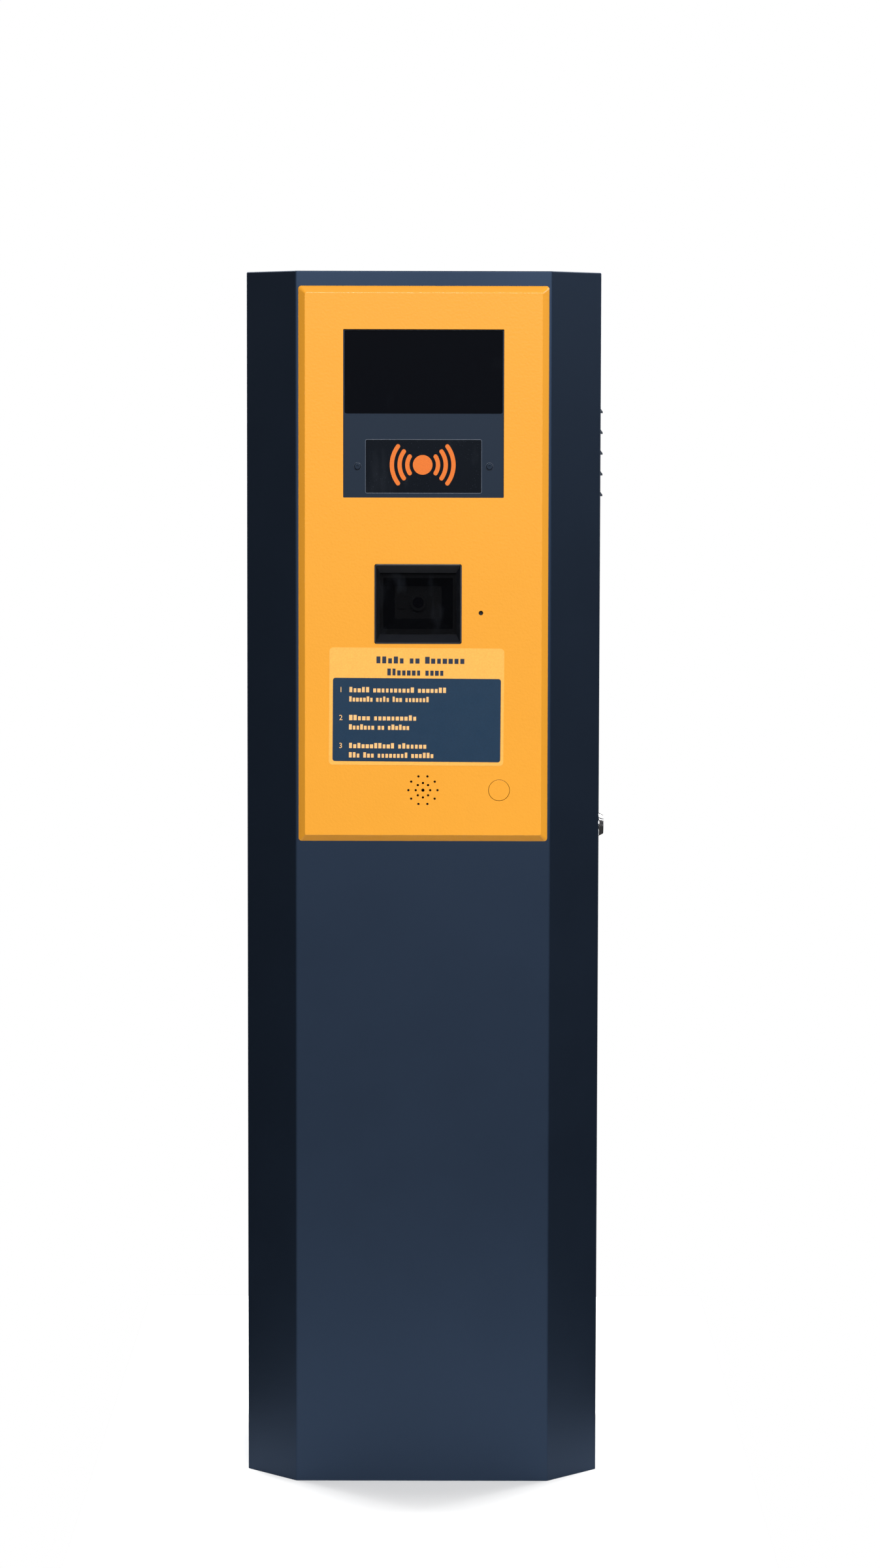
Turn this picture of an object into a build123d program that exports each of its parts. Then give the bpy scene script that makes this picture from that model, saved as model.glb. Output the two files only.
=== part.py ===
from build123d import *
import math
import os

# Parking pay station: a free-standing sheet-steel column that is bolted to the ground. Its flat
# front face lies between two 45 degree corners and carries a raised, bevelled fascia with a
# display, a contactless reader, a ticket scanner, a microphone, a speaker and a call button. A
# louvred service door, hinged at the rear edge, fills the right-hand side and opens onto the
# equipment plate. +Z is up, the front faces -Y, and the origin is the middle of the base on the
# ground. Lengths are in millimetres.

# ---------------------------------------------------------------- cabinet
height = 1200.0
width = 350.0
depth = 300.0
chamfer_leg = 50.0
sheet = 2.0
bend_radius = 3.0
edge_round = 1.2
cover_skirt = 14.0
cover_skirt_wall = 1.5
fit_gap = 0.3
thread_gap = 0.02
hole_gap = 0.2
running_clearance = 0.05

# ---------------------------------------------------------------- rear panel and its flanges
rear_flange = 20.0
rear_flange_end_gap = 24.0
rear_screw_rows = 5
rear_screw_end_inset = 80.0
rear_screw_radius = 2.5
rear_screw_length = 12.0
rear_screw_head = (4.75, 2.75, 3.0)

# ---------------------------------------------------------------- door frame, door and seal
jamb_lip = 6.0
rear_strip = 30.0
sill_height = 28.0
header_height = 24.0
frame_depth = 25.0
seal_flange = 16.0
seal_thickness = 5.0
seal_width = 10.0
door_gap = 2.0

# ---------------------------------------------------------------- louvres, screen and fan
louvre_count = 5
louvre_pitch = 20.8
louvre_length = 120.0
louvre_height = 9.0
louvre_rise = 4.6
louvre_wall = 1.2
louvre_end_slope = 8.0
louvre_top_drop = 110.0
louvre_offset = 8.0
screen_thickness = 1.5
screen_margin = 14.0
screen_stud_radius = 1.5
screen_stud_inset = 6.0
fan_size = 80.0
fan_thickness = 25.0
fan_bore = 76.0
fan_hub = 32.0
fan_tip_gap = 1.2
fan_blades = 7
fan_blade_pitch_angle = 38.0
fan_blade_thickness = 1.4
fan_screw_pitch = 71.5
fan_screw_radius = 2.0
fan_axle_radius = 1.5
guard_rings = 4
guard_wire = 1.6
guard_eye_radius = 4.0
fan_screw_head = (3.8, 2.4, 2.5)
fan_flange = 4.0
fan_strut = (4.0, 3.0)
fan_rotor_gap = 1.5
fan_axle_length = 12.0
screen_stud_length = 4.0
screen_nut = (5.5, 2.4)

# ---------------------------------------------------------------- hinges
hinge_heights_from_ends = 110.0
hinge_axis_out = 4.0
hinge_knuckle_radius = 3.9
hinge_leaf_width = 24.0
hinge_leaf_thickness = 1.5
hinge_half_length = 32.0
hinge_play = 0.4
hinge_pin_radius = 2.2
hinge_pin_recess = 3.0

# ---------------------------------------------------------------- quarter-turn lock
lock_height = 650.0
lock_backset = 30.0
lock_collar_radius = 11.6
lock_face_radius = 9.2
lock_projection = 6.0
lock_collar_edge = 1.4
lock_plug_recess = 0.6
lock_body_radius = 9.5
lock_plug_radius = 6.5
lock_key_slot = (1.8, 8.0, 5.0)
lock_square = 8.0
cam_thickness = 3.0
cam_width = 14.0
cam_length = 28.0
cam_clearance = 1.0
lock_nut_thickness = 5.0
lock_nut_flats = 24.0

# ---------------------------------------------------------------- fascia and what it carries
fascia_top_gap = 14.6
fascia_side_gap = 2.6
fascia_height = 543.6
fascia_raise = 7.0
fascia_bevel = 6.5
fascia_corner = 3.0
fascia_edge_round = 0.9
stud_radius = 2.5
stud_inset = 14.5
stud_end_inset = 40.0
stud_length = 8.0
stud_nut = (8.0, 4.0)
stud_hole_gap = 0.4
module_stud_radius = 2.0
module_stud_length = 11.0
module_nut_flats = 7.0
module_nut_thickness = 3.0
module_nut_room = 1.5
module_hole_gap = 0.3
clip_thickness = 1.2
clip_width = 10.0
clip_grip = 5.0

window_width = 157.0
window_height = 163.8
window_drop = 124.0
reader_plate_margin = 11.5
display_width = 154.4
display_height = 86.0
display_hidden_top = 4.0
display_corner = 2.0
display_glass_margin = 2.6
display_glass_thickness = 1.1
display_depth = 6.0
display_pocket_border = 8.0
display_pocket_depth = 1.2
display_board_size = (118.0, 62.0, 1.6)
display_chips = [(-30, 8, 20, 20, 1.8), (8, 10, 14, 14, 1.5), (30, -6, 10, 16, 1.6)]
reader_width = 113.6
reader_height = 52.4
reader_rise_from_window = 4.3
reader_corner = 1.6
reader_recess = 0.7
reader_screw_pitch = 129.0
reader_screw_head = (3.5, 1.9, 2.5)
reader_screw_radius = 1.98
reader_flange_thickness = 2.0
reader_boss = (4.0, 9.0)
reader_housing_depth = 18.0
reader_housing_wall = 2.0

scanner_x = -5.1
scanner_drop = 309.8
scanner_width = 85.0
scanner_height = 77.6
scanner_corner = 2.0
scanner_proud = 1.0
scanner_rim = 1.3
scanner_view_width = 75.2
scanner_view_height = 60.4
scanner_view_depth = 8.0
scanner_glass_thickness = 2.0
scanner_inner_width = 68.4
scanner_inner_height = 50.2
scanner_flange = 9.5
scanner_flange_thickness = 2.0
scanner_lip = 1.2
scanner_glass_over = 2.4
scanner_stud_outset = 4.6
scanner_hood_length = 26.0
scanner_hood_step = 6.0
scanner_hood_recess = 3.0
scanner_hood_end = (58.0, 44.0)
scanner_hood_end_wall = 6.0
scanner_engine_size = (56.0, 28.0, 42.0)
scanner_barrel_radius = 8.0
scanner_barrel_bore = 5.5
scanner_barrel_length = 6.0

microphone_from_scanner = 19.1
microphone_drop = 318.5
microphone_hole = 4.5
microphone_boot_radius = 4.6
microphone_boot_length = 9.0
microphone_capsule = (3.0, 5.0)

label_x = -6.5
label_drop = 410.6
label_width = 171.4
label_height = 115.4
label_corner = 4.0
label_thickness = 0.25
label_tilt = -0.35

speaker_drop = 492.8
speaker_radius = 20.0
speaker_depth = 15.0
speaker_gasket = 1.0
speaker_flange_thickness = 1.2
speaker_flange_width = 2.5
speaker_wall = 1.0
speaker_neck = 10.0
speaker_window_width = 8.0
speaker_cone_depth = 8.0
speaker_cap_radius = 5.0
speaker_magnet_size = (13.0, 6.0)
speaker_yoke_size = (11.0, 2.0)
speaker_centre_hole = 3.2
speaker_hole = 2.3
speaker_inner_ring = (8, 7.1)
speaker_outer_ring = (10, 14.3)
speaker_stud_pitch = 52.0

button_x = 74.8
button_radius = 10.2
button_gap = 0.4
button_travel = 1.5
button_cap_thickness = 3.5
button_stem_radius = 3.0
button_stud_pitch = 38.0
button_cup_wall = 2.2
button_cup_depth = 6.5
button_cup_floor = 2.0
button_stem_reach = 3.5
button_ear_width = 12.0
button_ear_thickness = 2.0
button_switch_size = (15.0, 10.0)

# ---------------------------------------------------------------- equipment plate on the left wall
equipment_bottom = 150.0
equipment_height = 480.0
equipment_front_gap = 20.0
equipment_rear_gap = 24.0
standoff_length = 20.0
standoff_radius = 5.0
standoff_stud_radius = 2.5
standoff_inset = (12.0, 20.0)
supply_size = (30.0, 97.0, 159.0)
supply_offset = 10.0
supply_top_gap = 20.0
supply_terminal_height = 14.0
supply_terminal_floor = 6.0
supply_terminal_row = (12.0, 11.0, 7)
controller_size = (36.0, 140.0, 120.0)
controller_gap = 22.0
controller_wall = 2.0
controller_board_size = (1.6, 128.0, 108.0)
controller_board_lift = 8.0
rail_height_above_base = 100.0
rail_width = 35.0
rail_depth = 7.5
rail_first_device = 14.0
device_gap = 4.0
breaker_size = (62.0, 36.0, 82.0)
breaker_nose = 18.0
breaker_slot_wall = 5.0
toggle_radius = 5.0
toggle_pin_radius = 1.5
toggle_pin_depth = 2.0
toggle_angle = 35.0
detector_size = (66.0, 40.0, 78.0)
terminal_count = 8
terminal_size = (40.0, 5.8, 44.0)
earth_bar_size = (9.0, 90.0, 14.0)
earth_bar_lift = 8.0
earth_bar_height = 40.0
earth_screw = (3.4, 2.6)

# ---------------------------------------------------------------- base
base_thickness = 6.0
anchor_spacing_x = 220.0
anchor_spacing_y = 180.0
anchor_hole_radius = 7.0
cable_entry_width = 130.0
cable_entry_depth = 70.0
cable_entry_y = 48.0
cable_entry_corner = 12.0
grommet_wall = 3.0
grommet_lip = (4.0, 2.5)

# ---------------------------------------------------------------- places worked out from the sizes
left = -width / 2
right = width / 2
front = -depth / 2
rear = depth / 2
shell_top = height - sheet
jamb_y = front + chamfer_leg + jamb_lip

opening_front = jamb_y + sheet
opening_rear = rear - rear_strip
opening_bottom = sill_height
opening_top = shell_top - header_height
opening_mid_y = (opening_front + opening_rear) / 2
opening_mid_z = (opening_bottom + opening_top) / 2
opening_width = opening_rear - opening_front
opening_height = opening_top - opening_bottom

seal_x = right - frame_depth + sheet
door_back_x = seal_x + seal_thickness
door_inside_x = right - sheet
door_front = opening_front + door_gap
door_top = opening_top - door_gap

hinge_x = right + hinge_axis_out
hinge_y = opening_rear - door_gap / 2
hinge_heights = [
    opening_bottom + hinge_heights_from_ends,
    opening_mid_z,
    opening_top - hinge_heights_from_ends,
]

lock_y = door_front + lock_backset
cam_back_x = right - frame_depth - cam_clearance - cam_thickness

louvre_heights = [door_top - louvre_top_drop - i * louvre_pitch for i in range(louvre_count)]
louvre_mid_z = (louvre_heights[0] + louvre_heights[-1] + louvre_height) / 2
louvre_mid_y = opening_mid_y + louvre_offset
screen_length = louvre_length + 2 * screen_margin
screen_height = louvre_pitch * (louvre_count - 1) + louvre_height + 2 * screen_margin
fan_outer_x = door_inside_x - screen_thickness
fan_inner_x = fan_outer_x - fan_thickness

fascia_face = front - fascia_raise
fascia_back = fascia_face + sheet
fascia_top = height - fascia_top_gap
fascia_mid_z = fascia_top - fascia_height / 2
fascia_width = width - 2 * chamfer_leg - 2 * fascia_side_gap
stud_x = fascia_width / 2 - stud_inset
stud_rows = [fascia_top - stud_end_inset, fascia_mid_z, fascia_top - fascia_height + stud_end_inset]

window_z = fascia_top - window_drop
window_top = window_z + window_height / 2
window_bottom = window_z - window_height / 2
plate_width = window_width + 2 * reader_plate_margin
plate_height = window_height + 2 * reader_plate_margin
plate_back = fascia_back + sheet
display_top = window_top + display_hidden_top
display_z = display_top - display_height / 2
reader_z = window_bottom + reader_rise_from_window + reader_height / 2
plate_stud_x = plate_width / 2 - 4.5
plate_stud_z = plate_height / 2 - 6.0
glass_back = plate_back + display_glass_thickness
panel_width = display_width + 2 * display_glass_margin
panel_height = display_height + 2 * display_glass_margin
module_back = glass_back + display_depth
board_seat = module_back - display_pocket_depth
reader_back = plate_back + reader_flange_thickness

scanner_z = fascia_top - scanner_drop
scanner_stud_x = scanner_width / 2 + scanner_stud_outset
scanner_stud_z = scanner_height / 2 + scanner_stud_outset
scanner_face = fascia_face - scanner_proud
view_y = scanner_face + scanner_view_depth
glass_seat = view_y + scanner_lip
glass_pocket_back = glass_seat + scanner_glass_thickness
hood_back = glass_pocket_back + scanner_hood_length
microphone_x = scanner_x + scanner_width / 2 + microphone_from_scanner
microphone_z = fascia_top - microphone_drop
label_z = fascia_top - label_drop
speaker_z = fascia_top - speaker_drop
speaker_flange_front = fascia_back + speaker_gasket
speaker_flange_back = speaker_flange_front + speaker_flange_thickness
speaker_back = speaker_flange_front + speaker_depth
button_z = speaker_z
button_floor = fascia_face + button_cap_thickness + button_cup_depth
button_back = button_floor + button_cup_floor
button_stem_end = button_floor + button_stem_reach

equipment_x = left + sheet + standoff_length
equipment_face = equipment_x + sheet
equipment_front = front + chamfer_leg + equipment_front_gap
equipment_rear = rear - sheet - equipment_rear_gap
equipment_mid_y = (equipment_front + equipment_rear) / 2
equipment_top = equipment_bottom + equipment_height
rail_z = equipment_bottom + rail_height_above_base
rail_face = equipment_face + rail_depth
rail_start = equipment_front + rail_first_device
breaker_y = rail_start + breaker_size[1] / 2
breaker_face = rail_face + breaker_size[0]
breaker_slot = breaker_size[1] - 2 * breaker_slot_wall
toggle_axis_x = breaker_face - toggle_radius
detector_y = rail_start + breaker_size[1] + device_gap + detector_size[1] / 2
terminal_start = rail_start + breaker_size[1] + detector_size[1] + 2.5 * device_gap
supply_y = equipment_mid_y - supply_offset
supply_z = equipment_top - supply_top_gap - supply_size[2] / 2
supply_foot = supply_z - supply_size[2] / 2
controller_y = equipment_mid_y
controller_z = supply_foot - controller_gap - controller_size[2] / 2


# ---------------------------------------------------------------- helpers
def block(x0, x1, y0, y1, z0, z1):
    """A box from its low and high sides."""
    return Pos((x0 + x1) / 2, (y0 + y1) / 2, (z0 + z1) / 2) * Box(x1 - x0, y1 - y0, z1 - z0)


def slab_y(flat, x, z, y_front, y_back):
    """A flat shape seen from the front, centred on (x, z) and filling y_front to y_back."""
    plane = Plane(origin=(x, y_back, z), x_dir=(1, 0, 0), z_dir=(0, -1, 0))
    return extrude(plane * flat, y_back - y_front)


def slab_x(flat, y, z, x_in, x_out):
    """A flat shape seen from the right, centred on (y, z) and filling x_in to x_out."""
    plane = Plane(origin=(x_in, y, z), x_dir=(0, 1, 0), z_dir=(1, 0, 0))
    return extrude(plane * flat, x_out - x_in)


def slab_z(flat, x, y, z_low, z_high):
    """A flat shape seen from above, centred on (x, y) and filling z_low to z_high."""
    return extrude(Pos(x, y, z_low) * flat, z_high - z_low)


def rod_y(x, z, radius, y_front, y_back):
    return slab_y(Circle(radius), x, z, y_front, y_back)


def rod_x(y, z, radius, x_in, x_out):
    return slab_x(Circle(radius), y, z, x_in, x_out)


def ring_y(x, z, outer, inner, y_front, y_back):
    return rod_y(x, z, outer, y_front, y_back) - rod_y(x, z, inner, y_front, y_back)


def frame_x(outer_width, outer_height, border, x_in, x_out):
    """A rectangular ring around the door opening's middle, its border measured inwards."""
    ring = Rectangle(outer_width, outer_height)
    ring -= Rectangle(outer_width - 2 * border, outer_height - 2 * border)
    return slab_x(ring, opening_mid_y, opening_mid_z, x_in, x_out)


def group(shapes):
    """Separate solids kept together in one node."""
    return Compound([solid for shape in shapes for solid in shape.solids()])


def hexagon(flats):
    return RegularPolygon(flats / 2, 6, major_radius=False)


def nut_y(x, z, flats, bore, y_front, thickness):
    flat = hexagon(flats) - Circle(bore)
    return slab_y(flat, x, z, y_front, y_front + thickness)


def socket_screw(head_radius, head_height, shank_radius, length, socket_flats):
    """A button-head screw along Z: its seat is at 0, its head above and its shank below."""
    head = Pos(0, 0, head_height / 2) * Cylinder(head_radius, head_height)
    head = fillet(head.edges().group_by(Axis.Z)[-1], head_height * 0.6)
    socket = extrude(Pos(0, 0, head_height * 0.45) * hexagon(socket_flats), head_height)
    shank = Pos(0, 0, -length / 2) * Cylinder(shank_radius, length)
    return head - socket + shank


def facing_front(shape, x, y, z):
    return Pos(x, y, z) * Rot(90, 0, 0) * shape


def facing_rear(shape, x, y, z):
    return Pos(x, y, z) * Rot(-90, 0, 0) * shape


def facing_left(shape, x, y, z):
    return Pos(x, y, z) * Rot(0, -90, 0) * shape


def corners(half_x, half_z):
    return [(sx * half_x, sz * half_z) for sx in (-1, 1) for sz in (-1, 1)]


def cabinet_outline(inset, corner_radius):
    """The cabinet seen from above, set in all round, with its four front bends rounded."""
    shift = inset * (math.sqrt(2) - 1)
    side = width / 2 - inset
    face = width / 2 - chamfer_leg - shift
    bend_y = front + chamfer_leg + shift
    points = [
        (-side, rear - inset),
        (-side, bend_y),
        (-face, front + inset),
        (face, front + inset),
        (side, bend_y),
        (side, rear - inset),
    ]
    flat = make_face(Polyline(points, close=True))
    return fillet(flat.vertices().sort_by(Axis.Y)[:4], corner_radius)


# ---------------------------------------------------------------- cabinet pieces
def rear_screw_heights():
    span = shell_top - 2 * rear_screw_end_inset
    return [rear_screw_end_inset + span * i / (rear_screw_rows - 1) for i in range(rear_screw_rows)]


def rear_screw_places():
    inset = sheet + rear_flange / 2
    return [(x, z) for x in (left + inset, right - inset) for z in rear_screw_heights()]


def rear_screw_holes(radius, y_front, y_back):
    return [rod_y(x, z, radius, y_front, y_back) for x, z in rear_screw_places()]


def rear_thread_holes():
    return rear_screw_holes(rear_screw_radius + thread_gap, rear - 2 * sheet, rear - sheet)


def make_front_shell():
    """Left wall, both corners and front face, folded from one sheet, with a flange at the rear."""
    wall = cabinet_outline(0, bend_radius) - cabinet_outline(sheet, bend_radius - sheet)
    shell = slab_z(wall, 0, 0, 0, shell_top)
    shell -= block(left, right, rear - sheet, rear, 0, shell_top)
    shell -= block(0, right, jamb_y, rear, 0, shell_top)
    shell += block(
        left + sheet,
        left + sheet + rear_flange,
        rear - 2 * sheet,
        rear - sheet,
        rear_flange_end_gap,
        shell_top - rear_flange_end_gap,
    )
    clear_y = (front, front + sheet)
    nut_room = module_nut_flats / 2 + module_nut_room
    shell -= slab_y(
        RectangleRounded(plate_width + 6, plate_height + 6, 4), 0, window_z, *clear_y
    )
    shell -= slab_y(
        RectangleRounded(
            2 * (scanner_stud_x + nut_room), 2 * (scanner_stud_z + nut_room), 4
        ),
        scanner_x,
        scanner_z,
        *clear_y,
    )
    shell -= rod_y(microphone_x, microphone_z, microphone_boot_radius + 0.6, *clear_y)
    shell -= slab_y(
        RectangleRounded(speaker_stud_pitch + 2 * nut_room, 2 * speaker_radius + 6, 4),
        0,
        speaker_z,
        *clear_y,
    )
    shell -= slab_y(
        RectangleRounded(2 * button_radius + 12, button_stud_pitch + 2 * nut_room, 4),
        button_x,
        button_z,
        *clear_y,
    )
    for z in stud_rows:
        for x in (-stud_x, stud_x):
            shell -= rod_y(x, z, stud_radius + stud_hole_gap, *clear_y)
    for hole in rear_thread_holes():
        shell -= hole
    return shell


def make_rear_panel():
    panel = block(left, right, rear - sheet, rear, 0, shell_top)
    panel = fillet(panel.edges().filter_by(Axis.Z).group_by(Axis.Y)[-1], edge_round)
    for hole in rear_screw_holes(rear_screw_radius + hole_gap, rear - sheet, rear):
        panel -= hole
    return panel


def make_rear_screws():
    head_radius, head_height, socket = rear_screw_head
    screw = socket_screw(head_radius, head_height, rear_screw_radius, rear_screw_length, socket)
    return group([facing_rear(screw, x, rear, z) for x, z in rear_screw_places()])


def make_top_cover():
    """A flat lid with the cabinet's outline and a skirt that sits just inside the walls."""
    lid = slab_z(cabinet_outline(0, bend_radius), 0, 0, shell_top, height)
    lid = fillet(lid.edges().group_by(Axis.Z)[-1], edge_round)
    inner = sheet + fit_gap
    skirt = cabinet_outline(inner, bend_radius - 1.0)
    skirt -= cabinet_outline(inner + cover_skirt_wall, bend_radius - cover_skirt_wall)
    low = shell_top - cover_skirt
    lid += slab_z(skirt, 0, 0, low, shell_top)
    # The skirt stops short of both rear flanges.
    flange_room = rear_flange + 4
    for side in (left, right - flange_room - sheet):
        lid -= block(side, side + flange_room + sheet, rear - 2.2 * sheet, rear, low, shell_top)
    return lid


def make_door_frame():
    """The welded frame on the right: side strips, a return around the opening and a seal flange."""
    strips = block(right - sheet, right, jamb_y, rear - sheet, 0, shell_top)
    strips -= slab_x(
        Rectangle(opening_width, opening_height), opening_mid_y, opening_mid_z, right - sheet, right
    )
    back = right - frame_depth
    frame = strips + frame_x(
        opening_width + 2 * sheet, opening_height + 2 * sheet, sheet, back, right
    )
    frame += frame_x(opening_width, opening_height, seal_flange, back, back + sheet)
    frame += block(
        right - sheet - rear_flange,
        right - sheet,
        rear - 2 * sheet,
        rear - sheet,
        rear_flange_end_gap,
        shell_top - rear_flange_end_gap,
    )
    for hole in rear_thread_holes():
        frame -= hole
    return frame


def make_door_seal():
    inset = 1.0
    return frame_x(
        opening_width - 2 * inset,
        opening_height - 2 * inset,
        seal_width,
        seal_x,
        door_back_x,
    )


def make_base_plate():
    """The floor plate: four anchor holes and one large cable entry."""
    plate = slab_z(cabinet_outline(sheet, bend_radius - sheet), 0, 0, 0, base_thickness)
    entry = RectangleRounded(cable_entry_width, cable_entry_depth, cable_entry_corner)
    plate -= slab_z(entry, 0, cable_entry_y, 0, base_thickness)
    for x, y in corners(anchor_spacing_x / 2, anchor_spacing_y / 2):
        plate -= slab_z(Circle(anchor_hole_radius), x, y, 0, base_thickness)
    return plate


def make_cable_grommet():
    """A rubber edging: a liner in the cable entry with a lip on the plate's upper face."""
    outer = RectangleRounded(cable_entry_width, cable_entry_depth, cable_entry_corner)
    inner = RectangleRounded(
        cable_entry_width - 2 * grommet_wall,
        cable_entry_depth - 2 * grommet_wall,
        cable_entry_corner - grommet_wall,
    )
    lip_out, lip_height = grommet_lip
    lip = RectangleRounded(
        cable_entry_width + 2 * lip_out, cable_entry_depth + 2 * lip_out, cable_entry_corner + lip_out
    )
    edging = slab_z(outer, 0, cable_entry_y, 0, base_thickness)
    edging += slab_z(lip, 0, cable_entry_y, base_thickness, base_thickness + lip_height)
    edging -= slab_z(inner, 0, cable_entry_y, 0, base_thickness + lip_height)
    return edging


# ---------------------------------------------------------------- door pieces
def screen_stud_places():
    half_y = screen_length / 2 - screen_stud_inset
    half_z = screen_height / 2 - screen_stud_inset
    return [(louvre_mid_y + y, louvre_mid_z + z) for y, z in corners(half_y, half_z)]


def make_louvre(z):
    """One pressed louvre: a hood with sloping ends, open underneath. Returns it and its slot."""
    half = louvre_length / 2
    tip = right + louvre_rise
    roof = [(right - sheet / 2, z), (tip, z), (tip, z + 1.5), (right - sheet / 2, z + louvre_height)]
    inner_tip = tip - louvre_wall
    room = [
        (door_inside_x - 1, z - 0.1),
        (inner_tip, z - 0.1),
        (inner_tip, z + 0.9),
        (door_inside_x - 1, z + louvre_height - 0.6 * louvre_wall),
    ]
    solids = []
    for points, inset in ((roof, 0.0), (room, louvre_wall)):
        side = Plane(
            origin=(0, louvre_mid_y + half, 0), x_dir=(1, 0, 0), z_dir=(0, -1, 0)
        )
        across = extrude(side * make_face(Polyline(points, close=True)), 2 * half)
        reach = half - inset
        plan = [
            (door_inside_x - 1, -reach),
            (right, -reach),
            (tip, -reach + louvre_end_slope),
            (tip, reach - louvre_end_slope),
            (right, reach),
            (door_inside_x - 1, reach),
        ]
        ends = make_face(Polyline(plan, close=True))
        along = slab_z(ends, 0, louvre_mid_y, z - 1, z + louvre_height + 1)
        solids.append(across & along)
    return solids


def make_service_door():
    """A folded pan with a lock hole and a bank of pressed louvres near its top."""
    door_width = opening_width - 2 * door_gap
    door_height = opening_height - 2 * door_gap
    skin = slab_x(
        Rectangle(door_width, door_height), opening_mid_y, opening_mid_z, door_back_x, right
    )
    skin = fillet(skin.edges().group_by(Axis.X)[-1], edge_round)
    skin -= slab_x(
        Rectangle(door_width - 2 * sheet, door_height - 2 * sheet),
        opening_mid_y,
        opening_mid_z,
        door_back_x,
        door_inside_x,
    )
    for z in louvre_heights:
        hood, room = make_louvre(z)
        skin = skin + hood - room
    skin -= rod_x(lock_y, lock_height, lock_body_radius + 0.2, door_inside_x, right)
    for y, z in screen_stud_places():
        skin += rod_x(y, z, screen_stud_radius, fan_outer_x - screen_stud_length, door_inside_x)
    return skin


def make_vent_screen():
    """The screen plate behind the louvres: it hangs on four door studs and carries the fan."""
    flat = Rectangle(screen_length, screen_height)
    for y, z in corners(fan_screw_pitch / 2, fan_screw_pitch / 2):
        flat -= Pos(y, z) * Circle(fan_screw_radius + thread_gap)
    screen = slab_x(flat, louvre_mid_y, louvre_mid_z, fan_outer_x, door_inside_x)
    for y, z in screen_stud_places():
        screen -= rod_x(y, z, screen_stud_radius + hole_gap, fan_outer_x, door_inside_x)
    return screen


def make_fan_frame():
    """The fan's square frame, with its motor carried on three struts at the inner side."""
    flat = RectangleRounded(fan_size, fan_size, 4.5) - Circle(fan_bore / 2)
    for y, z in corners(fan_screw_pitch / 2, fan_screw_pitch / 2):
        flat -= Pos(y, z) * Circle(fan_screw_radius + hole_gap)
    frame = slab_x(flat, louvre_mid_y, louvre_mid_z, fan_inner_x, fan_outer_x)
    waist = RectangleRounded(fan_size + 2, fan_size + 2, 2)
    waist -= RectangleRounded(fan_size - 5, fan_size - 5, 30)
    frame -= slab_x(
        waist, louvre_mid_y, louvre_mid_z, fan_inner_x + fan_flange, fan_outer_x - fan_flange
    )
    strut_width, strut_depth = fan_strut
    strut_back = fan_inner_x + strut_depth
    frame += slab_x(Circle(fan_hub / 2), louvre_mid_y, louvre_mid_z, fan_inner_x, strut_back)
    for i in range(3):
        strut = Pos(fan_size / 4, 0) * Rectangle(fan_bore / 2 + 1, strut_width)
        strut = Rot(0, 0, 90 + i * 120) * strut
        frame += slab_x(strut, louvre_mid_y, louvre_mid_z, fan_inner_x, strut_back)
    axle_end = fan_inner_x + fan_axle_length
    axle = slab_x(Circle(fan_axle_radius), louvre_mid_y, louvre_mid_z, fan_inner_x, axle_end)
    return frame + axle


def make_fan_rotor():
    """Hub and twisted blades, with a running bore on the frame's axle."""
    back = fan_inner_x + fan_strut[1] + fan_rotor_gap
    nose = fan_outer_x - fan_rotor_gap - 1
    hub = slab_x(Circle(fan_hub / 2), 0, 0, back, nose)
    hub = fillet(hub.edges().group_by(Axis.X)[-1], 2.0)
    reach = fan_bore / 2 - fan_tip_gap
    blades = []
    for i in range(fan_blades):
        blade = Pos((back + nose) / 2, 0, reach / 2) * Rot(0, 0, fan_blade_pitch_angle)
        blade = blade * Box(nose - back, fan_blade_thickness, reach)
        blades.append(Rot(i * 360 / fan_blades, 0, 0) * blade)
    sweep_room = slab_x(Circle(reach), 0, 0, back + 1, nose - 1)
    rotor = hub
    for blade in blades:
        rotor += blade & sweep_room
    bearing = Circle(fan_axle_radius + running_clearance)
    rotor -= slab_x(bearing, 0, 0, back, fan_inner_x + fan_axle_length + 1)
    return Pos(0, louvre_mid_y, louvre_mid_z) * rotor


def make_fan_guard():
    """A finger guard on the cabinet side: flat wire rings and spokes with four screw eyes."""
    outer = fan_bore / 2 - 1
    step = outer / guard_rings
    flat = Circle(outer) - Circle(outer - guard_wire)
    for i in range(1, guard_rings):
        flat += Circle(step * i + guard_wire / 2) - Circle(step * i - guard_wire / 2)
    for angle in (45, 135, 225, 315):
        reach = fan_screw_pitch / math.sqrt(2) - 2
        spoke = Pos((reach + step) / 2, 0) * Rectangle(reach - step, guard_wire)
        flat += Rot(0, 0, angle) * spoke
    for y, z in corners(fan_screw_pitch / 2, fan_screw_pitch / 2):
        flat += Pos(y, z) * Circle(guard_eye_radius)
        flat -= Pos(y, z) * Circle(fan_screw_radius + hole_gap)
    return slab_x(flat, louvre_mid_y, louvre_mid_z, fan_inner_x - guard_wire, fan_inner_x)


def make_fan_fasteners():
    """The fan's four long screws, and the four nuts that hold the screen plate."""
    seat = fan_inner_x - guard_wire
    head_radius, head_height, socket = fan_screw_head
    length = door_inside_x - fit_gap - seat
    screw = socket_screw(head_radius, head_height, fan_screw_radius, length, socket)
    screws = [
        facing_left(screw, seat, louvre_mid_y + y, louvre_mid_z + z)
        for y, z in corners(fan_screw_pitch / 2, fan_screw_pitch / 2)
    ]
    flats, thickness = screen_nut
    nut = hexagon(flats) - Circle(screen_stud_radius + thread_gap)
    nuts = [
        slab_x(nut, y, z, fan_outer_x - thickness, fan_outer_x) for y, z in screen_stud_places()
    ]
    return group(screws + nuts)


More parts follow.
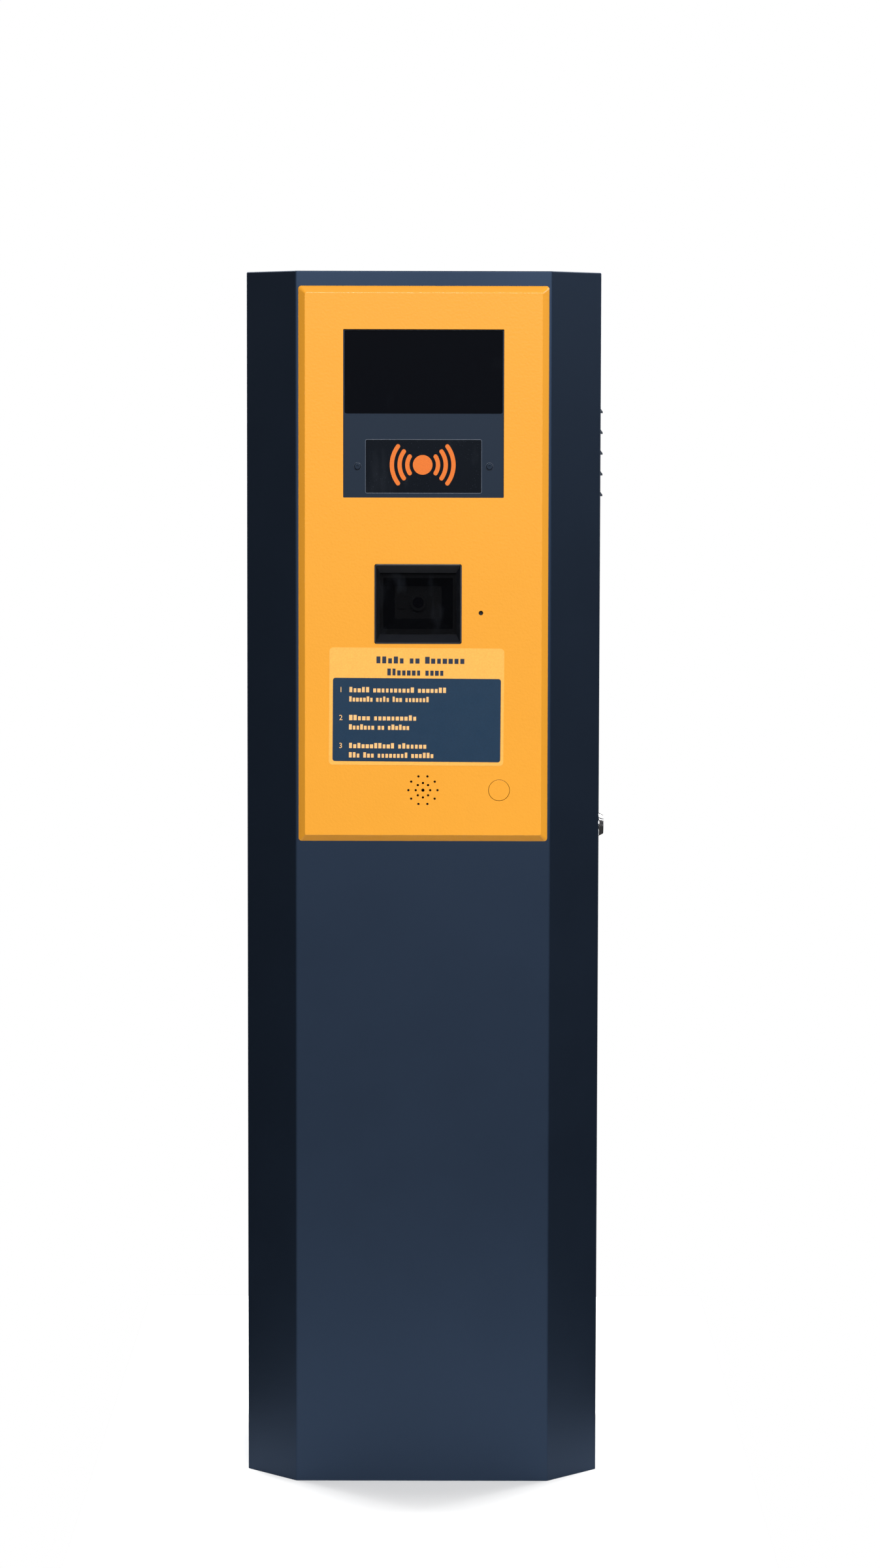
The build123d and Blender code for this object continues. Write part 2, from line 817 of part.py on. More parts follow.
# ---------------------------------------------------------------- hinge pieces
def hinge_knuckle(z_low, z_high, bore):
    flat = Circle(hinge_knuckle_radius) - Circle(bore)
    return slab_z(flat, hinge_x, hinge_y, z_low, z_high)


def hinge_leaf(y0, y1, z_low, z_high):
    leaf = block(right, right + hinge_leaf_thickness, y0, y1, z_low, z_high)
    return leaf - slab_z(
        Circle(hinge_knuckle_radius - 0.5), hinge_x, hinge_y, z_low, z_high
    )


def make_hinge_frame_halves():
    """Lower knuckles, each with a leaf welded to the frame behind the door."""
    halves = []
    for z in hinge_heights:
        low = z - hinge_play / 2 - hinge_half_length
        high = z - hinge_play / 2
        leaf = hinge_leaf(hinge_y + 1.5, hinge_y + hinge_leaf_width, low, high)
        halves.append(hinge_knuckle(low, high, hinge_pin_radius) + leaf)
    return group(halves)


def make_hinge_door_halves():
    """Upper knuckles, each with a leaf welded to the door."""
    halves = []
    for z in hinge_heights:
        low = z + hinge_play / 2
        high = low + hinge_half_length
        leaf = hinge_leaf(hinge_y - hinge_leaf_width, hinge_y - 1.5, low, high)
        bore = hinge_pin_radius + running_clearance
        halves.append(hinge_knuckle(low, high, bore) + leaf)
    return group(halves)


def make_hinge_pins():
    pins = []
    for z in hinge_heights:
        reach = hinge_play / 2 + hinge_half_length
        pin = slab_z(Circle(hinge_pin_radius), hinge_x, hinge_y, z - reach, z + reach - hinge_pin_recess)
        pins.append(chamfer(pin.edges().group_by(Axis.Z)[-1], 0.8))
    return group(pins)


# ---------------------------------------------------------------- lock pieces
def make_lock_housing():
    """The lock's bevelled collar and its round body, bored for the plug."""
    profile = [
        (0, 0),
        (lock_collar_radius, 0),
        (lock_collar_radius, lock_collar_edge),
        (lock_face_radius, lock_projection),
        (0, lock_projection),
    ]
    plane = Plane(origin=(right, lock_y, lock_height), x_dir=(0, 1, 0), z_dir=(0, 0, -1))
    collar = revolve(
        plane * make_face(Polyline(profile, close=True)),
        axis=Axis((right, lock_y, lock_height), (1, 0, 0)),
    )
    body_end = right - frame_depth + sheet
    housing = collar + rod_x(lock_y, lock_height, lock_body_radius, body_end, right)
    bore = lock_plug_radius + running_clearance
    return housing - rod_x(lock_y, lock_height, bore, body_end, right + lock_projection)


def make_lock_nut():
    flat = hexagon(lock_nut_flats) - Circle(lock_body_radius + 0.05)
    return slab_x(
        flat, lock_y, lock_height, door_inside_x - lock_nut_thickness, door_inside_x
    )


def make_lock_plug():
    """The turning plug: a key slot in its face and a square drive for the cam."""
    face = right + lock_projection - lock_plug_recess
    neck = cam_back_x + cam_thickness + 0.6
    plug = rod_x(lock_y, lock_height, lock_plug_radius, neck, face)
    slot_width, slot_height, slot_depth = lock_key_slot
    plug -= slab_x(
        Rectangle(slot_width, slot_height), lock_y, lock_height, face - slot_depth, face
    )
    square = Rectangle(lock_square, lock_square)
    plug += slab_x(square, lock_y, lock_height, cam_back_x, neck)
    return plug - rod_x(lock_y, lock_height, 2.0, cam_back_x, cam_back_x + 10)


def make_lock_cam():
    """The cam hangs straight down when unlocked and turns forwards behind the frame."""
    flat = Pos(0, (cam_width / 2 - cam_length) / 2) * Rectangle(
        cam_width, cam_length + cam_width / 2
    )
    flat = fillet(flat.vertices().group_by(Axis.Y)[0], cam_width / 2 - 0.5)
    flat -= Rectangle(lock_square + 0.1, lock_square + 0.1)
    return slab_x(flat, lock_y, lock_height, cam_back_x, cam_back_x + cam_thickness)


def make_cam_screw():
    screw = socket_screw(6.2, 3.0, 1.95, 9.0, 3.0)
    return facing_left(screw, cam_back_x, lock_y, lock_height)


# ---------------------------------------------------------------- fascia and reader pieces
def fascia_block(shrink, face, back):
    """A bevelled block with the fascia's outline, set in by shrink, from face back to back."""
    share = (front - face) / fascia_raise
    flat_in = fascia_bevel * share + shrink
    rear_flat = RectangleRounded(
        fascia_width - 2 * shrink, fascia_height - 2 * shrink, fascia_corner
    )
    front_flat = RectangleRounded(
        fascia_width - 2 * flat_in, fascia_height - 2 * flat_in, fascia_corner / 2
    )
    planes = [
        Plane(origin=(0, y, fascia_mid_z), x_dir=(1, 0, 0), z_dir=(0, -1, 0))
        for y in (back, face)
    ]
    return loft([planes[0] * rear_flat, planes[1] * front_flat], ruled=True)


def module_studs():
    """Places of the small studs that hold the reader plate, scanner, speaker and button."""
    plate = [(x, window_z + z) for x, z in corners(plate_stud_x, plate_stud_z)]
    scanner = [
        (scanner_x + x, scanner_z + z) for x, z in corners(scanner_stud_x, scanner_stud_z)
    ]
    speaker = [(s * speaker_stud_pitch / 2, speaker_z) for s in (-1, 1)]
    button = [(button_x, button_z + s * button_stud_pitch / 2) for s in (-1, 1)]
    return plate, scanner, speaker, button


def speaker_hole_places():
    places = []
    for count, radius in (speaker_inner_ring, speaker_outer_ring):
        for i in range(count):
            angle = 2 * math.pi * i / count
            places.append((radius * math.cos(angle), radius * math.sin(angle)))
    return places


def make_fascia_panel():
    """The raised, bevelled pan with its openings, and the studs on its back."""
    pan = fascia_block(0, fascia_face, front)
    rim = pan.edges().group_by(Axis.Y)[0]
    pan = fillet(rim, fascia_edge_round)
    pan -= fascia_block(sheet * math.sqrt(2), fascia_back, front)
    skin = (fascia_face, fascia_back)
    pan -= slab_y(RectangleRounded(window_width, window_height, 0.8), 0, window_z, *skin)
    pan -= slab_y(
        RectangleRounded(
            scanner_width + 2 * fit_gap, scanner_height + 2 * fit_gap, scanner_corner
        ),
        scanner_x,
        scanner_z,
        *skin,
    )
    pan -= rod_y(microphone_x, microphone_z, microphone_hole / 2, *skin)
    pan -= rod_y(0, speaker_z, speaker_centre_hole / 2, *skin)
    for x, z in speaker_hole_places():
        pan -= rod_y(x, speaker_z + z, speaker_hole / 2, *skin)
    pan -= rod_y(button_x, button_z, button_radius + button_gap, *skin)
    for places in module_studs():
        for x, z in places:
            pan += rod_y(x, z, module_stud_radius, fascia_back, fascia_back + module_stud_length)
    for z in stud_rows:
        for x in (-stud_x, stud_x):
            pan += rod_y(x, z, stud_radius, fascia_back, front + sheet + stud_length)
    return pan


def make_fascia_nuts():
    """The nuts of the fascia and of the reader plate, scanner, speaker and button on its back."""
    plate, scanner, speaker, button = module_studs()
    seats = [
        (plate, plate_back + clip_thickness),
        (scanner, fascia_back + scanner_flange_thickness),
        (speaker, speaker_flange_back + clip_thickness),
        (button, fascia_back + button_ear_thickness),
    ]
    nuts = [
        nut_y(x, z, module_nut_flats, module_stud_radius + thread_gap, seat, module_nut_thickness)
        for places, seat in seats
        for x, z in places
    ]
    for z in stud_rows:
        for x in (-stud_x, stud_x):
            nuts.append(nut_y(x, z, stud_nut[0], stud_radius + thread_gap, front + sheet, stud_nut[1]))
    return group(nuts)


def make_instruction_label():
    flat = Rot(0, 0, label_tilt) * RectangleRounded(label_width, label_height, label_corner)
    return slab_y(flat, label_x, label_z, fascia_face - label_thickness, fascia_face)


def make_reader_plate():
    """The painted plate behind the fascia's window, cut out for the display and the reader."""
    plate = slab_y(
        RectangleRounded(plate_width, plate_height, 3), 0, window_z, fascia_back, plate_back
    )
    cut = (fascia_back, plate_back)
    plate -= slab_y(
        RectangleRounded(display_width, display_height, display_corner), 0, display_z, *cut
    )
    plate -= slab_y(
        RectangleRounded(reader_width, reader_height, reader_corner), 0, reader_z, *cut
    )
    for x, z in module_studs()[0]:
        plate -= rod_y(x, z, module_stud_radius + module_hole_gap, *cut)
    for side in (-1, 1):
        plate -= rod_y(side * reader_screw_pitch / 2, reader_z, reader_screw_radius + hole_gap, *cut)
    return plate


def make_display_glass():
    return slab_y(
        RectangleRounded(panel_width, panel_height, 1.0), 0, display_z, plate_back, glass_back
    )


def make_display_module():
    """The flat display in its metal tray, with a rolled edge at the back."""
    tray = slab_y(Rectangle(panel_width, panel_height), 0, display_z, glass_back, module_back)
    border = 2 * display_pocket_border
    pocket = Rectangle(panel_width - border, panel_height - border)
    return tray - slab_y(pocket, 0, display_z, board_seat, module_back)


def make_display_board():
    """The display's driver board, its chips and its two sockets, in the tray's pocket."""
    wide, tall, thick = display_board_size
    face = board_seat + thick
    board = slab_y(Rectangle(wide, tall), 0, display_z, board_seat, face)
    for x, z, w, h, t in display_chips:
        board += slab_y(Rectangle(w, h), x, display_z + z, face, face + t)
    for x in (-26, 24):
        board += slab_y(Rectangle(26, 6), x, display_z - 24, face, face + 5)
    return board


def make_display_clips():
    """Four bent clips on the plate's studs that press on the back of the display."""
    clips = []
    half = clip_width / 2
    side = panel_width / 2 + hole_gap
    outer = plate_stud_x + module_nut_flats / 2
    arm = side + clip_thickness - hole_gap
    back = module_back + clip_thickness
    hole = module_stud_radius + hole_gap
    for x, z in corners(1, 1):
        stud_z = window_z + z * plate_stud_z
        hold_z = display_z + z * (panel_height / 2 - clip_width)
        low = min(stud_z, hold_z) - half
        high = max(stud_z, hold_z) + half
        base = sorted((x * side, x * outer))
        clip = block(*base, plate_back, plate_back + clip_thickness, low, high)
        wall = sorted((x * side, x * arm))
        clip += block(*wall, plate_back, back, hold_z - half, hold_z + half)
        lip = sorted((x * (side - clip_grip), x * arm))
        clip += block(*lip, module_back, back, hold_z - half, hold_z + half)
        clip -= rod_y(x * plate_stud_x, stud_z, hole, plate_back, plate_back + clip_thickness)
        clips.append(clip)
    return group(clips)


def make_reader_cover():
    """The reader's black cover: its window stands in the plate, its flange lies behind it."""
    boss = RectangleRounded(
        reader_width - 2 * fit_gap, reader_height - 2 * fit_gap, reader_corner - fit_gap
    )
    cover = slab_y(boss, 0, reader_z, fascia_back + reader_recess, plate_back)
    boss_radius, boss_length = reader_boss
    flange = RectangleRounded(reader_screw_pitch + 3 * boss_radius, reader_height + 2 * boss_radius, 3)
    cover += slab_y(flange, 0, reader_z, plate_back, reader_back)
    bore = reader_screw_radius + thread_gap
    for side in (-1, 1):
        x = side * reader_screw_pitch / 2
        cover += rod_y(x, reader_z, boss_radius, plate_back, plate_back + boss_length)
        cover -= rod_y(x, reader_z, bore, plate_back, plate_back + boss_length - 1)
    return cover


def make_reader_housing():
    """A shallow closed box behind the reader's cover, with a socket opening in its back."""
    wall = reader_housing_wall
    back = reader_back + reader_housing_depth
    outer = RectangleRounded(reader_width + 2, reader_height + 4, 3)
    inner = RectangleRounded(reader_width + 2 - 2 * wall, reader_height + 4 - 2 * wall, 2)
    box = slab_y(outer, 0, reader_z, reader_back, back)
    box -= slab_y(inner, 0, reader_z, reader_back, back - wall)
    return box - slab_y(Rectangle(20, 8), 30, reader_z - 10, back - wall, back)


def make_reader_screws():
    head_radius, head_height, socket = reader_screw_head
    length = sheet + reader_boss[1] - 2
    screw = socket_screw(head_radius, head_height, reader_screw_radius, length, socket)
    return group(
        facing_front(screw, side * reader_screw_pitch / 2, fascia_back, reader_z)
        for side in (-1, 1)
    )


# ---------------------------------------------------------------- scanner pieces
def scanner_plane(y):
    return Plane(origin=(scanner_x, y, scanner_z), x_dir=(1, 0, 0), z_dir=(0, -1, 0))


def scanner_taper(front_size, front_y, back_size, back_y):
    sections = [
        scanner_plane(back_y) * Rectangle(*back_size),
        scanner_plane(front_y) * Rectangle(*front_size),
    ]
    return loft(sections, ruled=True)


def make_scanner_bezel():
    """The scanner's black surround: a rim, four sloping walls, a glass seat and a flange."""
    body = slab_y(
        RectangleRounded(scanner_width, scanner_height, scanner_corner - fit_gap),
        scanner_x,
        scanner_z,
        scanner_face,
        glass_pocket_back,
    )
    body = fillet(body.edges().group_by(Axis.Y)[0], 0.5)
    flange = RectangleRounded(
        scanner_width + 2 * scanner_flange, scanner_height + 2 * scanner_flange, 3
    )
    body += slab_y(
        flange, scanner_x, scanner_z, fascia_back, fascia_back + scanner_flange_thickness
    )
    view = (scanner_view_width, scanner_view_height)
    mouth = (scanner_width - 2 * scanner_rim, scanner_height - 2 * scanner_rim)
    body -= scanner_taper(mouth, scanner_face, view, view_y)
    body -= slab_y(Rectangle(*view), scanner_x, scanner_z, view_y, glass_pocket_back)
    seat = Rectangle(view[0] + 2 * scanner_glass_over, view[1] + 2 * scanner_glass_over)
    body -= slab_y(seat, scanner_x, scanner_z, glass_seat, glass_pocket_back)
    for x, z in module_studs()[1]:
        body -= rod_y(
            x,
            z,
            module_stud_radius + module_hole_gap,
            fascia_back,
            fascia_back + scanner_flange_thickness,
        )
    return body


def make_scanner_glass():
    size = (
        scanner_view_width + 2 * scanner_glass_over - 2 * fit_gap,
        scanner_view_height + 2 * scanner_glass_over - 2 * fit_gap,
    )
    return slab_y(Rectangle(*size), scanner_x, scanner_z, glass_seat, glass_pocket_back)


def make_scanner_hood():
    """The dark tunnel behind the glass, stepped once and narrowing towards the camera."""
    outer = (scanner_width, scanner_height)
    step = glass_pocket_back + scanner_hood_step
    recess = glass_pocket_back + scanner_hood_recess
    hood = slab_y(Rectangle(*outer), scanner_x, scanner_z, glass_pocket_back, step)
    hood += scanner_taper(outer, step, scanner_hood_end, hood_back)
    lip = (scanner_view_width - 1, scanner_view_height - 1)
    hood -= slab_y(Rectangle(*lip), scanner_x, scanner_z, glass_pocket_back, recess)
    inner = (scanner_inner_width, scanner_inner_height)
    inner_end = tuple(size - 2 * scanner_hood_end_wall for size in scanner_hood_end)
    hood -= scanner_taper(inner, recess, inner_end, hood_back)
    return hood


def make_scanner_engine():
    """The camera block with its lens barrel and two lamps, closed behind the tunnel."""
    wide, deep, tall = scanner_engine_size
    barrel_front = hood_back - scanner_barrel_length
    body = slab_y(RectangleRounded(wide, tall, 3), scanner_x, scanner_z, hood_back, hood_back + deep)
    body = fillet(body.edges().group_by(Axis.Y)[-1], 1.5)
    body += rod_y(scanner_x, scanner_z, scanner_barrel_radius, barrel_front, hood_back)
    body -= rod_y(scanner_x, scanner_z, scanner_barrel_bore, barrel_front, hood_back - 2)
    for side in (-1, 1):
        lamp_x = scanner_x + side * 2 * (scanner_barrel_radius + 0.5)
        body += slab_y(Rectangle(7, 12), lamp_x, scanner_z, hood_back - 2, hood_back)
    return body


def make_scanner_lens():
    radius = scanner_barrel_bore - 0.1
    return rod_y(scanner_x, scanner_z, radius, hood_back - 4, hood_back - 2)


# ---------------------------------------------------------------- sound and call pieces
def make_microphone():
    """The capsule, seen through its hole, held by a rubber boot."""
    radius, length = microphone_capsule
    seat = fascia_back + 2
    return rod_y(microphone_x, microphone_z, radius, seat, seat + length)


def make_microphone_boot():
    radius, length = microphone_capsule
    seat = fascia_back + 2
    back = fascia_back + microphone_boot_length
    boot = rod_y(microphone_x, microphone_z, microphone_boot_radius, fascia_back, back)
    boot -= rod_y(microphone_x, microphone_z, radius + running_clearance, seat, seat + length)
    return boot - rod_y(microphone_x, microphone_z, microphone_hole / 2, fascia_back, seat)


def speaker_taper(front_radius, front_y, back_radius, back_y):
    sections = []
    for y, radius in ((back_y, back_radius), (front_y, front_radius)):
        plane = Plane(origin=(0, y, speaker_z), x_dir=(1, 0, 0), z_dir=(0, -1, 0))
        sections.append(plane * Circle(radius))
    return loft(sections, ruled=True)


def make_speaker_basket():
    """The speaker's pressed frame: a flange, a tapered basket and four air windows."""
    mouth = speaker_radius - speaker_flange_width
    outer = speaker_taper(
        mouth + speaker_wall, speaker_flange_back, speaker_neck + speaker_wall, speaker_back
    )
    inner = speaker_taper(mouth, speaker_flange_back, speaker_neck, speaker_back)
    basket = rod_y(0, speaker_z, speaker_radius, speaker_flange_front, speaker_flange_back)
    basket = basket + outer - inner
    basket -= rod_y(0, speaker_z, mouth, speaker_flange_front, speaker_flange_back)
    floor = speaker_back - speaker_wall
    basket += rod_y(0, speaker_z, speaker_neck + speaker_wall, floor, speaker_back)
    for angle in (45, 135):
        window = Rot(0, 0, angle) * Rectangle(2 * speaker_radius, speaker_window_width)
        basket -= slab_y(window, 0, speaker_z, speaker_flange_back + 2, floor - 2)
    return basket


def make_speaker_cone():
    """The paper cone with its dust cap, and its surround held between fascia and basket."""
    rim_radius = speaker_radius - speaker_flange_width - 0.7
    neck_radius = speaker_cap_radius - 0.6
    cone_back = speaker_flange_front + speaker_cone_depth
    outer = speaker_taper(rim_radius, speaker_flange_front, neck_radius, cone_back)
    inner = speaker_taper(rim_radius - 0.8, speaker_flange_front, neck_radius - 0.6, cone_back)
    cap = rod_y(0, speaker_z, speaker_cap_radius, cone_back - 2.5, cone_back)
    surround = ring_y(
        0, speaker_z, speaker_radius, rim_radius - 1.6, fascia_back, speaker_flange_front
    )
    return outer - inner + cap + surround


def make_speaker_magnet():
    radius, thickness = speaker_magnet_size
    yoke_radius, yoke_thickness = speaker_yoke_size
    seat = speaker_back + thickness
    magnet = rod_y(0, speaker_z, radius, speaker_back, seat)
    return magnet + rod_y(0, speaker_z, yoke_radius, seat, seat + yoke_thickness)


def make_speaker_clamps():
    """Two clamps on studs that hold the speaker's flange."""
    clamps = []
    low = speaker_radius - speaker_flange_width + speaker_wall + fit_gap
    back = speaker_flange_back + clip_thickness
    half = clip_width / 2
    for side in (-1, 1):
        stud = side * speaker_stud_pitch / 2
        reach = sorted((side * low, stud + side * half))
        clamp = block(*reach, speaker_flange_back, back, speaker_z - half, speaker_z + half)
        hole = module_stud_radius + hole_gap
        clamps.append(clamp - rod_y(stud, speaker_z, hole, speaker_flange_back, back))
    return group(clamps)


def make_button_cap():
    """The flush call button: a disc with a stem behind it."""
    back = fascia_face + button_cap_thickness
    cap = rod_y(button_x, button_z, button_radius, fascia_face, back)
    cap = fillet(cap.edges().group_by(Axis.Y)[0], 0.35)
    return cap + rod_y(button_x, button_z, button_stem_radius, back, button_stem_end)


def make_button_housing():
    """The guide behind the fascia: a cup for the disc, a bush for the stem and two ears."""
    ear_back = fascia_back + button_ear_thickness
    bore = button_radius + button_gap
    bush = button_stem_radius + running_clearance
    housing = rod_y(button_x, button_z, bore + button_cup_wall, fascia_back, button_back)
    ears = RectangleRounded(button_ear_width, button_stud_pitch + button_ear_width, 4)
    housing += slab_y(ears, button_x, button_z, fascia_back, ear_back)
    housing -= rod_y(button_x, button_z, bore, fascia_back, button_floor)
    housing -= rod_y(button_x, button_z, bush, button_floor, button_back)
    for x, z in module_studs()[3]:
        housing -= rod_y(x, z, module_stud_radius + hole_gap, fascia_back, ear_back)
    return housing


def make_button_switch():
    """The switch that the stem presses, clipped to the back of the guide."""
    wide, deep = button_switch_size
    back = button_back + deep
    switch = slab_y(Rectangle(wide, wide), button_x, button_z, button_back, back)
    room = button_stem_end + button_travel + fit_gap
    switch -= rod_y(button_x, button_z, button_stem_radius + 0.6, button_back, room)
    for side in (-1, 1):
        switch += slab_y(Rectangle(1, 4), button_x + side * 4, button_z, back, back + 6)
    return switch


# ---------------------------------------------------------------- equipment pieces
def standoff_places():
    inset_y, inset_z = standoff_inset
    return [
        (y, z)
        for y in (equipment_front + inset_y, equipment_rear - inset_y)
        for z in (equipment_bottom + inset_z, equipment_top - inset_z)
    ]


def make_equipment_plate():
    plate = slab_x(
        RectangleRounded(equipment_rear - equipment_front, equipment_height, 6),
        equipment_mid_y,
        equipment_bottom + equipment_height / 2,
        equipment_x,
        equipment_face,
    )
    for y, z in standoff_places():
        plate -= rod_x(y, z, standoff_stud_radius + hole_gap, equipment_x, equipment_face)
    return plate


def make_plate_standoffs():
    """Four hexagon pillars welded to the wall, each with a stud for the plate."""
    pillars = []
    for y, z in standoff_places():
        pillar = slab_x(hexagon(2 * standoff_radius), y, z, left + sheet, equipment_x)
        pillar += rod_x(y, z, standoff_stud_radius, equipment_x, equipment_face + stud_nut[1] + 2)
        pillars.append(pillar)
    return group(pillars)


def make_plate_nuts():
    flats, thickness = stud_nut
    flat = hexagon(flats) - Circle(standoff_stud_radius + thread_gap)
    return group(
        slab_x(flat, y, z, equipment_face, equipment_face + thickness)
        for y, z in standoff_places()
    )


def make_power_supply():
    """The mains supply in its metal case, open at the foot for its terminals."""
    thick, wide, tall = supply_size
    face = equipment_face + thick
    case = slab_x(Rectangle(wide, tall), supply_y, supply_z, equipment_face, face)
    case = fillet(case.edges().group_by(Axis.X)[-1], 1.0)
    return case - block(
        equipment_face + supply_terminal_floor,
        face,
        supply_y - wide / 2,
        supply_y + wide / 2,
        supply_foot,
        supply_foot + supply_terminal_height,
    )


def make_supply_terminals():
    """The supply's row of screw terminals."""
    depth, pitch, count = supply_terminal_row
    start = supply_y - supply_size[1] / 2 + 6
    floor = equipment_face + supply_terminal_floor
    face = floor + depth
    low = supply_foot + 0.5
    high = supply_foot + supply_terminal_height - 0.5
    row = block(floor, face, start, start + count * pitch, low, high)
    for i in range(count):
        y = start + (i + 0.5) * pitch
        row -= block(floor + 4, face, y - 4, y + 4, low + 1.5, high - 1.5)
        row += rod_x(y, (low + high) / 2, 2.6, floor + 3.9, floor + 8)
    return row


def make_controller_case():
    """The controller's open tray, fixed to the plate."""
    thick, wide, tall = controller_size
    wall = controller_wall
    face = equipment_face + thick
    outer = RectangleRounded(wide, tall, 3)
    inner = RectangleRounded(wide - 2 * wall, tall - 2 * wall, 2)
    case = slab_x(outer, controller_y, controller_z, equipment_face, face)
    return case - slab_x(inner, controller_y, controller_z, equipment_face + wall, face)


def make_controller_board():
    """The controller's circuit board: processor, memory, relays and edge sockets."""
    thick, wide, tall = controller_board_size
    floor = equipment_face + controller_wall
    face = floor + controller_board_lift
    top = face + thick
    board = slab_x(Rectangle(wide, tall), controller_y, controller_z, face, top)
    for y, z in corners(wide / 2 - 5, tall / 2 - 5):
        board += rod_x(controller_y + y, controller_z + z, 3.0, floor, face)
    chips = [(-26, 14, 24, 24, 2.2), (6, 20, 14, 10, 1.4), (6, 6, 14, 10, 1.4), (34, 30, 9, 9, 1.6)]
    for y, z, w, h, t in chips:
        board += slab_x(Rectangle(w, h), controller_y + y, controller_z + z, top, top + t)
    for i in range(3):
        y = controller_y + 12 + i * 19
        board += slab_x(Rectangle(15, 19), y, controller_z - 18, top, top + 15)
    for i in range(4):
        y = controller_y - 44 + i * 29
        board += slab_x(Rectangle(24, 9), y, controller_z - 47, top, top + 10)
    for y, z in ((-52, 34), (-52, 20), (50, 8)):
        board += rod_x(controller_y + y, controller_z + z, 4.0, top, top + 12)
    return board


def make_din_rail():
    """A top-hat rail across the plate."""
    half = rail_width / 2
    crown = half - 4
    start = equipment_front + 10
    end = equipment_rear - 10
    base = equipment_face + 1
    rail = block(equipment_face, base, start, end, rail_z - crown, rail_z + crown)
    for side in (-1, 1):
        web = sorted((rail_z + side * (crown - 1), rail_z + side * crown))
        lip = sorted((rail_z + side * (crown - 1), rail_z + side * half))
        rail += block(equipment_face, rail_face, start, end, *web)
        rail += block(rail_face - 1, rail_face, start, end, *lip)
    return rail


def toggle_rod(radius, length):
    return Pos(toggle_axis_x, breaker_y, rail_z) * Rot(90, 0, 0) * Cylinder(radius, length)


def make_circuit_breaker():
    """The two-pole breaker: a stepped block, slotted for its toggle, with clamp screws."""
    _, wide, tall = breaker_size
    shoulder = breaker_face - breaker_nose
    slot = Rectangle(breaker_slot, 2 * toggle_radius + 14)
    body = slab_x(Rectangle(wide, tall), breaker_y, rail_z, rail_face, shoulder)
    body += slab_x(Rectangle(wide, tall * 0.55), breaker_y, rail_z, shoulder, breaker_face)
    body -= slab_x(slot, breaker_y, rail_z, breaker_face - 2 * toggle_radius - 2, breaker_face)
    body -= toggle_rod(
        toggle_pin_radius + running_clearance, breaker_slot + 2 * toggle_pin_depth + 2 * fit_gap
    )
    for y in (breaker_y - wide / 4, breaker_y + wide / 4):
        for z in (rail_z - tall * 0.4, rail_z + tall * 0.4):
            body -= rod_x(y, z, 3.2, shoulder - 8, shoulder)
    return body


def make_breaker_toggle():
    """The breaker's handle: a round bar on two end pins, with one lever across both poles."""
    wide = breaker_slot - 2 * fit_gap
    handle = toggle_rod(toggle_radius, wide)
    handle += toggle_rod(toggle_pin_radius, breaker_slot + 2 * toggle_pin_depth)
    lever = Rot(0, -toggle_angle, 0) * Pos(8.5, 0, 0) * Box(11, wide - 4, 4.5)
    lever = fillet(lever.edges().filter_by(Axis.Y), 1.2)
    return handle + Pos(toggle_axis_x, breaker_y, rail_z) * lever


def make_loop_detector():
    """The vehicle detector: a plug-in module on a socket."""
    deep, wide, tall = detector_size
    socket = rail_face + deep / 3
    base = slab_x(Rectangle(wide, tall), detector_y, rail_z, rail_face, socket)
    body = slab_x(Rectangle(wide - 4, tall - 14), detector_y, rail_z, socket, rail_face + deep)
    body = fillet(body.edges().group_by(Axis.X)[-1], 1.5)
    return base + body


def make_terminal_blocks():
    """A row of feed-through terminals with their screw wells."""
    deep, wide, tall = terminal_size
    face = rail_face + deep
    blocks = []
    for i in range(terminal_count):
        y = terminal_start + i * (wide + 0.2) + wide / 2
        body = slab_x(Rectangle(wide, tall), y, rail_z, rail_face, face - 8)
        body += slab_x(Rectangle(wide, tall * 0.6), y, rail_z, rail_face, face)
        for side in (-1, 1):
            body -= rod_x(y, rail_z + side * tall * 0.2, 1.9, face - 9, face)
        blocks.append(body)
    return group(blocks)


def make_earth_bar():
    """The brass earth bar with its row of clamp screws, on two feet."""
    deep, wide, tall = earth_bar_size
    head_radius, head_height = earth_screw
    z = equipment_bottom + earth_bar_height
    back = equipment_face + earth_bar_lift
    face = back + deep
    bar = slab_x(Rectangle(wide, tall), equipment_mid_y, z, back, face)
    for side in (-1, 1):
        foot = equipment_mid_y + side * (wide / 2 - 6)
        bar += slab_x(Rectangle(10, tall), foot, z, equipment_face, back)
    for i in range(6):
        bar += rod_x(equipment_mid_y - 30 + i * 12, z, head_radius, face, face + head_height)
    return bar


